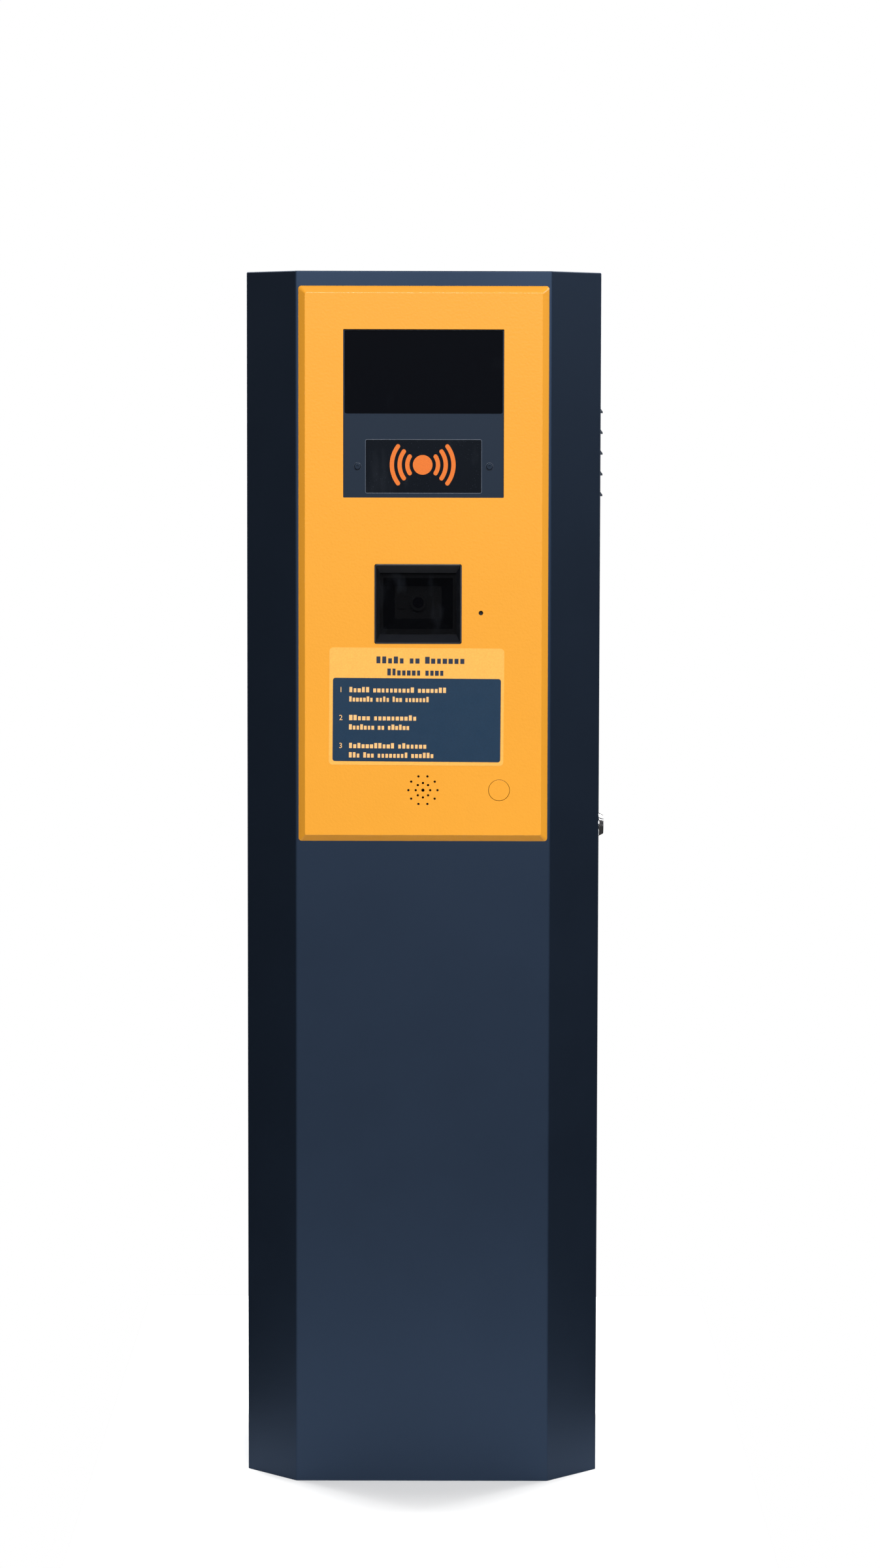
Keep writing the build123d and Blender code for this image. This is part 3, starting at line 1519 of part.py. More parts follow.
# ---------------------------------------------------------------- write every node
makers = [
    ("front_shell", make_front_shell),
    ("rear_panel", make_rear_panel),
    ("rear_screws", make_rear_screws),
    ("top_cover", make_top_cover),
    ("door_frame", make_door_frame),
    ("door_seal", make_door_seal),
    ("base_plate", make_base_plate),
    ("cable_grommet", make_cable_grommet),
    ("service_door", make_service_door),
    ("vent_screen", make_vent_screen),
    ("fan_frame", make_fan_frame),
    ("fan_rotor", make_fan_rotor),
    ("fan_guard", make_fan_guard),
    ("fan_fasteners", make_fan_fasteners),
    ("hinge_frame_halves", make_hinge_frame_halves),
    ("hinge_door_halves", make_hinge_door_halves),
    ("hinge_pins", make_hinge_pins),
    ("lock_housing", make_lock_housing),
    ("lock_nut", make_lock_nut),
    ("lock_plug", make_lock_plug),
    ("lock_cam", make_lock_cam),
    ("cam_screw", make_cam_screw),
    ("fascia_panel", make_fascia_panel),
    ("fascia_nuts", make_fascia_nuts),
    ("instruction_label", make_instruction_label),
    ("reader_plate", make_reader_plate),
    ("display_glass", make_display_glass),
    ("display_module", make_display_module),
    ("display_board", make_display_board),
    ("display_clips", make_display_clips),
    ("reader_cover", make_reader_cover),
    ("reader_housing", make_reader_housing),
    ("reader_screws", make_reader_screws),
    ("scanner_bezel", make_scanner_bezel),
    ("scanner_glass", make_scanner_glass),
    ("scanner_hood", make_scanner_hood),
    ("scanner_engine", make_scanner_engine),
    ("scanner_lens", make_scanner_lens),
    ("microphone", make_microphone),
    ("microphone_boot", make_microphone_boot),
    ("speaker_basket", make_speaker_basket),
    ("speaker_cone", make_speaker_cone),
    ("speaker_magnet", make_speaker_magnet),
    ("speaker_clamps", make_speaker_clamps),
    ("button_cap", make_button_cap),
    ("button_housing", make_button_housing),
    ("button_switch", make_button_switch),
    ("equipment_plate", make_equipment_plate),
    ("plate_standoffs", make_plate_standoffs),
    ("plate_nuts", make_plate_nuts),
    ("power_supply", make_power_supply),
    ("supply_terminals", make_supply_terminals),
    ("controller_case", make_controller_case),
    ("controller_board", make_controller_board),
    ("din_rail", make_din_rail),
    ("circuit_breaker", make_circuit_breaker),
    ("breaker_toggle", make_breaker_toggle),
    ("loop_detector", make_loop_detector),
    ("terminal_blocks", make_terminal_blocks),
    ("earth_bar", make_earth_bar),
]

os.makedirs("parts", exist_ok=True)
for name, maker in makers:
    export_step(maker(), f"parts/{name}.step")
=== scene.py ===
import math
import random

import bmesh
import bpy
from mathutils import Matrix, Vector


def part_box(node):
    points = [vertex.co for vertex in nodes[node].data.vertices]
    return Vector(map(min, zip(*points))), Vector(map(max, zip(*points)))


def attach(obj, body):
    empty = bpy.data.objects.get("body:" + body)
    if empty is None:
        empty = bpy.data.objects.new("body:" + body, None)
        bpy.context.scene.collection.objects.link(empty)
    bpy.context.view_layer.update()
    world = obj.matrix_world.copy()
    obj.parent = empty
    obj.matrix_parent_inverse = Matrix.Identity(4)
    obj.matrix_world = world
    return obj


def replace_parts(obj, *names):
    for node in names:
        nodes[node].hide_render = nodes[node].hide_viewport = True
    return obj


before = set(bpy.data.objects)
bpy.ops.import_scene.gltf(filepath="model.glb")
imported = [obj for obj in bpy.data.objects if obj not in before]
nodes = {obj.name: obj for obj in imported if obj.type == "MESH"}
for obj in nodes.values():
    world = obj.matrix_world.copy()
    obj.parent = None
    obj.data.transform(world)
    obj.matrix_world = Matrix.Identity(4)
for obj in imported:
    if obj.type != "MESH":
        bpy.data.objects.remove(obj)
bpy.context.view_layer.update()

scene = bpy.context.scene

MM = 0.001


# ---------------------------------------------------------------- camera, floor and light
# where the camera stands, its lens in mm, and how far it looks down and leans in degrees
CAMERA_PLACE = (0.016, -4.400, 1.067)
CAMERA_LENS = 99.5
CAMERA_DOWN = 4.96
CAMERA_LEAN = -0.12

# the world's strength as the camera sees it, and as it lights the object
WORLD_SEEN = 1.0
WORLD_LIGHT = 0.045

# half the floor's width and depth; it is narrow so that it lights the sloping corners little
FLOOR_HALF_SIZE = (0.33, 0.75)


def make_camera():
    data = bpy.data.cameras.new("camera")
    data.sensor_width = 36.0
    data.lens = CAMERA_LENS
    data.clip_end = 60.0
    camera = bpy.data.objects.new("camera", data)
    camera.location = CAMERA_PLACE
    camera.rotation_euler = (math.radians(90 - CAMERA_DOWN), math.radians(CAMERA_LEAN), 0)
    scene.collection.objects.link(camera)
    scene.camera = camera


def soft_light(name, place, aim, size, power):
    data = bpy.data.lights.new(name, "AREA")
    data.shape = "RECTANGLE"
    data.size, data.size_y = size
    data.energy = power
    lamp = bpy.data.objects.new(name, data)
    lamp.location = place
    lamp.rotation_euler = (Vector(aim) - Vector(place)).to_track_quat("-Z", "Y").to_euler()
    scene.collection.objects.link(lamp)


def make_studio():
    """A white surround that lights little, and the soft lights in front, beside and behind."""
    scene.view_settings.view_transform = "Standard"
    world = bpy.data.worlds.new("studio")
    scene.world = world
    world.use_nodes = True
    tree = world.node_tree
    background = tree.nodes["Background"]
    seen = tree.nodes.new("ShaderNodeLightPath")
    strength = tree.nodes.new("ShaderNodeMapRange")
    strength.inputs["To Min"].default_value = WORLD_LIGHT
    strength.inputs["To Max"].default_value = WORLD_SEEN
    background.inputs["Color"].default_value = (1, 1, 1, 1)
    tree.links.new(seen.outputs["Is Camera Ray"], strength.inputs["Value"])
    tree.links.new(strength.outputs["Result"], background.inputs["Strength"])
    soft_light("front_box", place=(0.5, -5.2, 3.3), aim=(0, 0, 0.55), size=(3.4, 2.6), power=385)
    soft_light("right_box", place=(3.2, -0.3, 2.3), aim=(0, 0, 1.0), size=(0.9, 1.6), power=24)
    soft_light("top_box", place=(0.1, -0.3, 3.6), aim=(0, 0, 1.0), size=(1.6, 1.2), power=3)
    for side in (-1, 1):
        soft_light("rear_box", place=(side * 3.0, 3.4, 2.6), aim=(0, 0, 0.7), size=(1.8, 2.4), power=170)
        soft_light("edge_box", place=(side * 3.0, -2.6, 1.3), aim=(0, 0, 0.8), size=(0.22, 2.6), power=14)
    soft_light("floor_box", place=(0.0, 2.5, 4.4), aim=(0, 0.8, 0), size=(8.0, 3.5), power=420)


def make_floor():
    mesh = bpy.data.meshes.new("floor")
    wide, deep = FLOOR_HALF_SIZE
    corners = [(-wide, -deep, 0), (wide, -deep, 0), (wide, deep, 0), (-wide, deep, 0)]
    mesh.from_pydata(corners, [], [(0, 1, 2, 3)])
    floor = bpy.data.objects.new("floor", mesh)
    scene.collection.objects.link(floor)
    mesh.materials.append(floor_paint())


# ---------------------------------------------------------------- material helpers
# the span in which a noise mostly lies
USUAL_NOISE = (0.3, 0.7)


def new_material(name):
    material = bpy.data.materials.new(name)
    material.use_nodes = True
    return material, material.node_tree, material.node_tree.nodes["Principled BSDF"]


def surface_point(tree, stretch=(1, 1, 1)):
    """The place on the piece, in metres, stretched where a finish has a direction."""
    coords = tree.nodes.new("ShaderNodeTexCoord")
    mapping = tree.nodes.new("ShaderNodeMapping")
    mapping.inputs["Scale"].default_value = stretch
    tree.links.new(coords.outputs["Object"], mapping.inputs["Vector"])
    return mapping.outputs["Vector"]


def noise(tree, point, per_metre, detail=2.0, roughness=0.5):
    node = tree.nodes.new("ShaderNodeTexNoise")
    node.inputs["Scale"].default_value = per_metre
    node.inputs["Detail"].default_value = detail
    node.inputs["Roughness"].default_value = roughness
    tree.links.new(point, node.inputs["Vector"])
    return node.outputs["Fac"]


def specks(tree, point, per_metre, size):
    """Fine sparse grains: 1 inside a grain and 0 outside it."""
    node = tree.nodes.new("ShaderNodeTexVoronoi")
    node.inputs["Scale"].default_value = per_metre
    tree.links.new(point, node.inputs["Vector"])
    return ranged(tree, node.outputs["Distance"], size, size * 0.5, 0.0, 1.0)


def ranged(tree, value, low, high, to_low, to_high):
    node = tree.nodes.new("ShaderNodeMapRange")
    node.inputs["From Min"].default_value = low
    node.inputs["From Max"].default_value = high
    node.inputs["To Min"].default_value = to_low
    node.inputs["To Max"].default_value = to_high
    tree.links.new(value, node.inputs["Value"])
    return node.outputs["Result"]


def maths(tree, operation, a, b):
    node = tree.nodes.new("ShaderNodeMath")
    node.operation = operation
    for socket, value in zip(node.inputs, (a, b)):
        if isinstance(value, (int, float)):
            socket.default_value = value
        else:
            tree.links.new(value, socket)
    return node.outputs[0]


def blended(tree, amount, first, second):
    node = tree.nodes.new("ShaderNodeMix")
    node.data_type = "RGBA"
    tree.links.new(amount, node.inputs["Factor"])
    for socket, colour in ((node.inputs[6], first), (node.inputs[7], second)):
        if isinstance(colour, tuple):
            socket.default_value = (*colour, 1)
        else:
            tree.links.new(colour, socket)
    return node.outputs[2]


def bumped(tree, shader, height, strength, depth):
    node = tree.nodes.new("ShaderNodeBump")
    node.inputs["Strength"].default_value = strength
    node.inputs["Distance"].default_value = depth
    tree.links.new(height, node.inputs["Height"])
    tree.links.new(node.outputs["Normal"], shader.inputs["Normal"])


def shade(colour, factor):
    return tuple(c * factor for c in colour)


def coloured(tree, shader, amount, first, second):
    """Colours the finish between two colours, by the amount."""
    tree.links.new(blended(tree, amount, first, second), shader.inputs["Base Color"])


def roughened(tree, shader, value, smoothest, roughest):
    """Lets the roughness follow a noise, between its smoothest and its roughest."""
    rough = ranged(tree, value, *USUAL_NOISE, smoothest, roughest)
    tree.links.new(rough, shader.inputs["Roughness"])


# ---------------------------------------------------------------- finishes
def floor_paint():
    """Matt pale paint, almost white, with a slow drift in tone."""
    material, tree, shader = new_material("pale_floor")
    drift = noise(tree, surface_point(tree), per_metre=3.0)
    coloured(tree, shader, drift, (0.86, 0.86, 0.86), (0.9, 0.9, 0.9))
    shader.inputs["Roughness"].default_value = 0.9
    shader.inputs["Specular IOR Level"].default_value = 0.0
    return material


def powder_coat(name, colour, roughness, grain, depth, specular, coat=0.0, metallic=0.0):
    """Sprayed and baked paint: a fine grain or orange peel, and a slow drift in tone."""
    material, tree, shader = new_material(name)
    point = surface_point(tree)
    both = maths(tree, "ADD", noise(tree, point, per_metre=5.0), noise(tree, point, per_metre=2600.0))
    tone = ranged(tree, both, 0.6, 1.4, 0.0, 1.0)
    coloured(tree, shader, tone, shade(colour, 0.96), shade(colour, 1.04))
    roughened(tree, shader, noise(tree, point, per_metre=12.0), roughness - 0.02, roughness + 0.02)
    shader.inputs["Specular IOR Level"].default_value = specular
    shader.inputs["Metallic"].default_value = metallic
    shader.inputs["Coat Weight"].default_value = coat
    shader.inputs["Coat Roughness"].default_value = 0.06
    bumped(tree, shader, noise(tree, point, grain, detail=1.5), strength=1.0, depth=depth)
    return material


def plated_steel(name, colour, roughness, brush=(1, 1, 1)):
    """Zinc-plated sheet: faint crystals, a rolled direction and dull patches."""
    material, tree, shader = new_material(name)
    point = surface_point(tree, brush)
    streak = noise(tree, point, per_metre=700.0)
    tone = ranged(tree, noise(tree, point, per_metre=25.0, detail=4.0), *USUAL_NOISE, 0.0, 1.0)
    coloured(tree, shader, tone, shade(colour, 0.82), shade(colour, 1.08))
    shader.inputs["Metallic"].default_value = 1.0
    roughened(tree, shader, streak, roughness - 0.07, roughness + 0.08)
    bumped(tree, shader, streak, strength=0.25, depth=0.00004)
    return material


def moulded_plastic(name, colour, roughness):
    """Moulded plastic with a fine spark-eroded grain."""
    material, tree, shader = new_material(name)
    point = surface_point(tree)
    tone = noise(tree, point, per_metre=40.0, detail=3.0)
    coloured(tree, shader, tone, shade(colour, 0.88), shade(colour, 1.12))
    roughened(tree, shader, noise(tree, point, per_metre=120.0), roughness - 0.05, roughness + 0.05)
    shader.inputs["Specular IOR Level"].default_value = 0.3
    bumped(tree, shader, noise(tree, point, per_metre=1500.0), strength=0.6, depth=0.00003)
    return material


def soft_rubber(name, colour):
    """Black rubber with a pale bloom in patches."""
    material, tree, shader = new_material(name)
    point = surface_point(tree)
    bloom = ranged(tree, noise(tree, point, per_metre=60.0, detail=4.0), 0.4, 0.75, 0.0, 1.0)
    coloured(tree, shader, bloom, colour, shade(colour, 1.8))
    shader.inputs["Roughness"].default_value = 0.75
    bumped(tree, shader, noise(tree, point, per_metre=1800.0), strength=0.4, depth=0.00003)
    return material


def dusty_gloss(name, colour, haze, roughness, dust):
    """Black glass or gloss plastic with wiped smears and a few grains of dust on it."""
    material, tree, shader = new_material(name)
    point = surface_point(tree)
    wiped = noise(tree, surface_point(tree, (1, 1, 0.35)), per_metre=34.0, detail=4.0)
    smear = ranged(tree, wiped, 0.58, 0.9, 0.0, 1.0)
    grains = maths(tree, "MULTIPLY", specks(tree, point, per_metre=420.0, size=0.10), dust)
    marks = maths(tree, "ADD", maths(tree, "MULTIPLY", smear, 0.25), grains)
    coloured(tree, shader, marks, colour, haze)
    rough = maths(tree, "ADD", maths(tree, "MULTIPLY", smear, 0.07), roughness)
    tree.links.new(rough, shader.inputs["Roughness"])
    bumped(tree, shader, noise(tree, point, per_metre=35.0), strength=0.05, depth=0.0002)
    return material


def clear_glass(name):
    """A clear cover with wiped smears and dust: thin, so it lets most light straight through."""
    material, tree, shader = new_material(name)
    point = surface_point(tree)
    wiped = noise(tree, surface_point(tree, (1, 1, 0.5)), per_metre=45.0, detail=5.0)
    smear = maths(tree, "MULTIPLY", ranged(tree, wiped, 0.55, 0.85, 0.0, 1.0), 0.30)
    grains = maths(tree, "MULTIPLY", specks(tree, point, per_metre=480.0, size=0.09), 0.8)
    marks = maths(tree, "MAXIMUM", smear, grains)
    coloured(tree, shader, marks, (0.001, 0.0012, 0.002), (0.06, 0.07, 0.09))
    shader.inputs["Roughness"].default_value = 0.06
    tree.links.new(ranged(tree, marks, 0.0, 1.0, 0.45, 0.95), shader.inputs["Alpha"])
    bumped(tree, shader, noise(tree, point, per_metre=60.0), strength=0.05, depth=0.0001)
    return material


def polished_chrome(name):
    """Bright plating with fine wiping marks."""
    material, tree, shader = new_material(name)
    point = surface_point(tree)
    shader.inputs["Metallic"].default_value = 1.0
    wipe = noise(tree, point, per_metre=400.0, detail=3.0)
    coloured(tree, shader, wipe, (0.66, 0.66, 0.68), (0.86, 0.86, 0.87))
    roughened(tree, shader, wipe, 0.08, 0.22)
    bumped(tree, shader, noise(tree, point, per_metre=900.0), strength=0.1, depth=0.00002)
    return material


def printed_film(name, colour):
    """Screen-printed vinyl: even colour with a faint mottled print and a soft sheen."""
    material, tree, shader = new_material(name)
    point = surface_point(tree)
    mottle = ranged(tree, noise(tree, point, per_metre=900.0, detail=3.0), *USUAL_NOISE, 0.0, 1.0)
    coloured(tree, shader, mottle, shade(colour, 0.92), shade(colour, 1.08))
    shader.inputs["Specular IOR Level"].default_value = 0.2
    wave = noise(tree, point, per_metre=90.0)
    roughened(tree, shader, wave, 0.41, 0.49)
    bumped(tree, shader, wave, strength=0.1, depth=0.00003)
    return material


def circuit_laminate(name, colour, axis, level):
    """Solder mask over copper, with lighter tracks; what stands past the level is black parts."""
    material, tree, shader = new_material(name)
    point = surface_point(tree)
    tracks = tree.nodes.new("ShaderNodeTexBrick")
    tracks.inputs["Scale"].default_value = 120.0
    tracks.inputs["Mortar Size"].default_value = 0.06
    tracks.inputs["Color1"].default_value = (*shade(colour, 0.8), 1)
    tracks.inputs["Color2"].default_value = (*shade(colour, 1.1), 1)
    tracks.inputs["Mortar"].default_value = (*shade(colour, 1.9), 1)
    turned = tree.nodes.new("ShaderNodeMapping")
    turned.inputs["Rotation"].default_value = (0.0, math.radians(90), math.radians(90))
    tree.links.new(point, turned.inputs["Vector"])
    tree.links.new(turned.outputs["Vector"], tracks.inputs["Vector"])
    place = tree.nodes.new("ShaderNodeSeparateXYZ")
    tree.links.new(point, place.inputs[0])
    part = maths(tree, "GREATER_THAN", place.outputs[axis], level)
    coloured(tree, shader, part, tracks.outputs["Color"], (0.012, 0.012, 0.014))
    shader.inputs["Roughness"].default_value = 0.3
    bumped(tree, shader, tracks.outputs["Fac"], strength=0.3, depth=0.0001)
    return material


def fibrous_paper(name, colour):
    """Pressed paper pulp, with its fibres showing."""
    material, tree, shader = new_material(name)
    fibre = noise(tree, surface_point(tree), per_metre=1200.0, detail=5.0, roughness=0.7)
    coloured(tree, shader, fibre, shade(colour, 0.6), shade(colour, 1.5))
    shader.inputs["Roughness"].default_value = 0.85
    bumped(tree, shader, fibre, strength=0.6, depth=0.0001)
    return material


BODY_BLUE = (0.022, 0.0355, 0.062)
FASCIA_AMBER = (0.82, 0.345, 0.026)
PLATE_BLUE = (0.0125, 0.0205, 0.035)
BOARD_GREEN = (0.015, 0.12, 0.045)
# what stands past these levels, in mm, is a part on the board and not the board itself
CONTROLLER_LEVEL = -139.2
DISPLAY_LEVEL = -145.3


def make_finishes():
    return {
        "body": powder_coat(
            "body_paint", BODY_BLUE, roughness=0.50, grain=1400.0, depth=0.00002, specular=0.15, metallic=0.85
        ),
        "fascia": powder_coat(
            "fascia_paint", FASCIA_AMBER, roughness=0.42, grain=420.0, depth=0.00011, specular=0.25, coat=0.5
        ),
        "reader_plate": powder_coat(
            "reader_plate_paint", PLATE_BLUE, roughness=0.45, grain=1400.0, depth=0.00002, specular=0.15,
            metallic=0.5,
        ),
        "zinc": plated_steel("zinc_plate", (0.60, 0.60, 0.58), 0.36),
        "case": plated_steel("bright_case", (0.68, 0.69, 0.70), 0.30, (1, 1, 0.4)),
        "brass": plated_steel("brass_bar", (0.70, 0.47, 0.17), 0.30),
        "ferrite": plated_steel("magnet_ferrite", (0.07, 0.07, 0.075), 0.55),
        "chrome": polished_chrome("lock_chrome"),
        "rubber": soft_rubber("seal_rubber", (0.012, 0.012, 0.013)),
        "black": moulded_plastic("black_moulding", (0.0045, 0.0055, 0.0085), 0.42),
        # a pale colour for the rims: a painted highlight, on round wires that also catch the lamps
        "edge": moulded_plastic("rim_painted_highlight", (0.085, 0.105, 0.14), 0.25),
        "grey": moulded_plastic("grey_moulding", (0.42, 0.43, 0.44), 0.45),
        "green": moulded_plastic("green_moulding", (0.05, 0.22, 0.08), 0.45),
        "white": moulded_plastic("white_moulding", (0.75, 0.75, 0.72), 0.45),
        "display": dusty_gloss(
            "display_cover", (0.0020, 0.0026, 0.0046), haze=(0.016, 0.019, 0.027), roughness=0.09, dust=0.25
        ),
        "reader_cover": dusty_gloss(
            "reader_cover_gloss", (0.004, 0.006, 0.010), haze=(0.05, 0.06, 0.08), roughness=0.14, dust=0.9
        ),
        "clear": clear_glass("scanner_cover_glass"),
        "lens": dusty_gloss(
            "lens_glass", (0.004, 0.003, 0.008), haze=(0.02, 0.01, 0.03), roughness=0.04, dust=0.0
        ),
        "label_paper": printed_film("label_paper", (0.88, 0.44, 0.085)),
        "label_blue": printed_film("label_blue_ink", (0.007, 0.030, 0.066)),
        "label_dark": printed_film("label_dark_ink", (0.020, 0.030, 0.055)),
        "label_light": printed_film("label_light_ink", (0.85, 0.50, 0.20)),
        "icon": printed_film("icon_ink", (0.72, 0.165, 0.020)),
        "controller_board": circuit_laminate("controller_laminate", BOARD_GREEN, "X", CONTROLLER_LEVEL * MM),
        "display_board": circuit_laminate("display_laminate", BOARD_GREEN, "Y", DISPLAY_LEVEL * MM),
        "paper": fibrous_paper("cone_paper", (0.03, 0.03, 0.032)),
        "tin": plated_steel("tin_ends", (0.72, 0.72, 0.72), 0.35),
    }


NODE_FINISH = {
    "body": (
        "front_shell rear_panel top_cover door_frame service_door"
        " hinge_frame_halves hinge_door_halves"
    ),
    "fascia": "fascia_panel button_cap",
    "reader_plate": "reader_plate reader_screws",
    "zinc": (
        "rear_screws base_plate fan_guard fan_fasteners hinge_pins lock_nut lock_cam cam_screw"
        " fascia_nuts display_clips speaker_basket speaker_clamps equipment_plate"
        " plate_standoffs plate_nuts din_rail"
    ),
    "case": "display_module power_supply controller_case",
    "brass": "earth_bar",
    "ferrite": "speaker_magnet",
    "chrome": "lock_housing lock_plug",
    "rubber": "door_seal cable_grommet microphone_boot",
    "black": (
        "fan_frame fan_rotor reader_housing scanner_bezel scanner_hood scanner_engine"
        " button_housing button_switch supply_terminals breaker_toggle microphone"
    ),
    "grey": "circuit_breaker loop_detector",
    "green": "terminal_blocks",
    "display": "display_glass",
    "reader_cover": "reader_cover",
    "clear": "scanner_glass",
    "lens": "scanner_lens",
    "label_paper": "instruction_label",
    "controller_board": "controller_board",
    "display_board": "display_board",
    "paper": "speaker_cone",
}


def dress_nodes(finishes):
    """Gives every node of the frame its finish, in the material places that it has."""
    for finish, names in NODE_FINISH.items():
        for name in names.split():
            for place in nodes[name].material_slots:
                place.material = finishes[finish]


# ---------------------------------------------------------------- pieces grown by a rule
# points nearer than this, in metres, are one point
SAME_PLACE = 1e-6


def new_tree(name, **sizes):
    """A Geometry Nodes tree with the host's geometry and one named input for each size."""
    tree = bpy.data.node_groups.new(name, "GeometryNodeTree")
    tree.interface.new_socket("Geometry", in_out="INPUT", socket_type="NodeSocketGeometry")
    for label, kind in sizes.items():
        tree.interface.new_socket(label, in_out="INPUT", socket_type="NodeSocket" + kind)
    tree.interface.new_socket("Geometry", in_out="OUTPUT", socket_type="NodeSocketGeometry")
    return tree, tree.nodes.new("NodeGroupInput").outputs


def wired(tree, kind, inputs=None, **settings):
    """Adds a node, sets it up, joins its inputs and returns its outputs."""
    node = tree.nodes.new(kind)
    for key, value in settings.items():
        setattr(node, key, value)
    for socket, source in (inputs or {}).items():
        if isinstance(source, bpy.types.NodeSocket):
            tree.links.new(source, node.inputs[socket])
        else:
            node.inputs[socket].default_value = source
    return node.outputs


def calc(tree, operation, *terms):
    return wired(tree, "ShaderNodeMath", dict(enumerate(terms)), operation=operation)[0]


def vector(tree, x=0.0, y=0.0, z=0.0):
    return wired(tree, "ShaderNodeCombineXYZ", {"X": x, "Y": y, "Z": z})[0]


def finish_tree(tree, geometry, material):
    real = wired(tree, "GeometryNodeRealizeInstances", {"Geometry": geometry})[0]
    dressed = wired(tree, "GeometryNodeSetMaterial", {"Geometry": real, "Material": material})[0]
    tree.links.new(dressed, tree.nodes.new("NodeGroupOutput").inputs["Geometry"])
    return tree


def thickened(tree, sheet, offset):
    """Turns an open sheet into a closed plate, grown along the offset."""
    grown_sheet = wired(
        tree, "GeometryNodeExtrudeMesh", {"Mesh": sheet, "Offset": offset, "Individual": False}
    )
    under = wired(tree, "GeometryNodeFlipFaces", {"Mesh": sheet})[0]
    both = tree.nodes.new("GeometryNodeJoinGeometry")
    tree.links.new(under, both.inputs[0])
    tree.links.new(grown_sheet[0], both.inputs[0])
    return wired(
        tree, "GeometryNodeMergeByDistance", {"Geometry": both.outputs[0], "Distance": SAME_PLACE}
    )[0]


def point_mesh(name, places, edges=(), **fields):
    """The host of a rule: its places, and a named vector for each place where one is needed."""
    mesh = bpy.data.meshes.new(name)
    mesh.from_pydata(places, edges, [])
    for label, values in fields.items():
        layer = mesh.attributes.new(label, "FLOAT_VECTOR", "POINT")
        layer.data.foreach_set("vector", [part for triple in values for part in triple])
    return mesh


def settled(name, mesh, body):
    """Makes a finished mesh a piece of the object, with its normals outward."""
    work = bmesh.new()
    work.from_mesh(mesh)
    bmesh.ops.recalc_face_normals(work, faces=work.faces)
    work.to_mesh(mesh)
    work.free()
    piece = bpy.data.objects.new(name, mesh)
    scene.collection.objects.link(piece)
    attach(piece, body)
    return piece


def grown(name, mesh, tree, sizes, body):
    """Runs a tree on its host mesh and keeps the plain result as one piece."""
    host = bpy.data.objects.new(name + "_host", mesh)
    scene.collection.objects.link(host)
    modifier = host.modifiers.new("rule", "NODES")
    modifier.node_group = tree
    for item in tree.interface.items_tree:
        if item.in_out == "INPUT" and item.name in sizes:
            modifier[item.identifier] = sizes[item.name]
    ready = host.evaluated_get(bpy.context.evaluated_depsgraph_get())
    result = bpy.data.meshes.new_from_object(ready)
    host.modifiers.remove(modifier)
    bpy.data.objects.remove(host)
    result.name = name
    return settled(name, result, body)


def block_tree(name, material):
    """A box at each place, as large as that place's stretch, all leaning by one angle."""
    tree, size = new_tree(name, Lean="Float")
    cube = wired(tree, "GeometryNodeMeshCube")["Mesh"]
    stretch = wired(
        tree, "GeometryNodeInputNamedAttribute", {"Name": "stretch"}, data_type="FLOAT_VECTOR"
    )[0]
    boxes = wired(
        tree,
        "GeometryNodeInstanceOnPoints",
        {
            "Points": size["Geometry"], "Instance": cube, "Scale": stretch,
            "Rotation": vector(tree, y=size["Lean"]),
        },
    )[0]
    return finish_tree(tree, boxes, material)


# how many arcs the sign has on each side
WAVES = 3


def wave_tree(material):
    """A dot with arcs on each side, each arc a flat bar with rounded ends."""
    tree, size = new_tree(
        "radio_waves",
        First="Float", Step="Float", Bar="Float", Reach="Float", Dot="Float", Depth="Float", Place="Vector",
    )
    half = calc(tree, "MULTIPLY", size["Bar"], 0.5)
    joined = tree.nodes.new("GeometryNodeJoinGeometry")
    inward = vector(tree, y=calc(tree, "MULTIPLY", size["Depth"], -1.0))
    for i in range(WAVES):
        radius = calc(tree, "MULTIPLY_ADD", size["Step"], float(i), size["First"])
        grid = wired(
            tree, "GeometryNodeMeshGrid", {"Size X": 2.0, "Size Y": 2.0, "Vertices X": 61, "Vertices Y": 3}
        )[0]
        place = wired(tree, "ShaderNodeSeparateXYZ", {0: wired(tree, "GeometryNodeInputPosition")[0]})
        angle = calc(tree, "MULTIPLY", place["X"], size["Reach"])
        left_over = calc(tree, "SUBTRACT", 1.0, calc(tree, "ABSOLUTE", place["X"]))
        to_end = calc(tree, "MULTIPLY", calc(tree, "MULTIPLY", left_over, size["Reach"]), radius)
        short = calc(tree, "MAXIMUM", calc(tree, "SUBTRACT", half, to_end), 0.0)
        squares = calc(tree, "SUBTRACT", calc(tree, "POWER", half, 2.0), calc(tree, "POWER", short, 2.0))
        width = calc(tree, "SQRT", calc(tree, "MAXIMUM", squares, 0.0))
        distance = calc(tree, "MULTIPLY_ADD", place["Y"], width, radius)
        curved = vector(
            tree,
            x=calc(tree, "MULTIPLY", distance, calc(tree, "COSINE", angle)),
            z=calc(tree, "MULTIPLY", distance, calc(tree, "SINE", angle)),
        )
        bent = wired(tree, "GeometryNodeSetPosition", {"Geometry": grid, "Position": curved})[0]
        clean = wired(tree, "GeometryNodeMergeByDistance", {"Geometry": bent, "Distance": SAME_PLACE})[0]
        bar = thickened(tree, clean, inward)
        other = wired(tree, "GeometryNodeTransform", {"Geometry": bar, "Rotation": (0.0, math.pi, 0.0)})[0]
        tree.links.new(bar, joined.inputs[0])
        tree.links.new(other, joined.inputs[0])
    disc = wired(
        tree, "GeometryNodeMeshCircle", {"Vertices": 64, "Radius": size["Dot"]}, fill_type="NGON"
    )[0]
    upright = wired(tree, "GeometryNodeTransform", {"Geometry": disc, "Rotation": (math.pi / 2, 0.0, 0.0)})[0]
    tree.links.new(thickened(tree, upright, inward), joined.inputs[0])
    moved = wired(
        tree, "GeometryNodeTransform", {"Geometry": joined.outputs[0], "Translation": size["Place"]}
    )[0]
    return finish_tree(tree, moved, material)


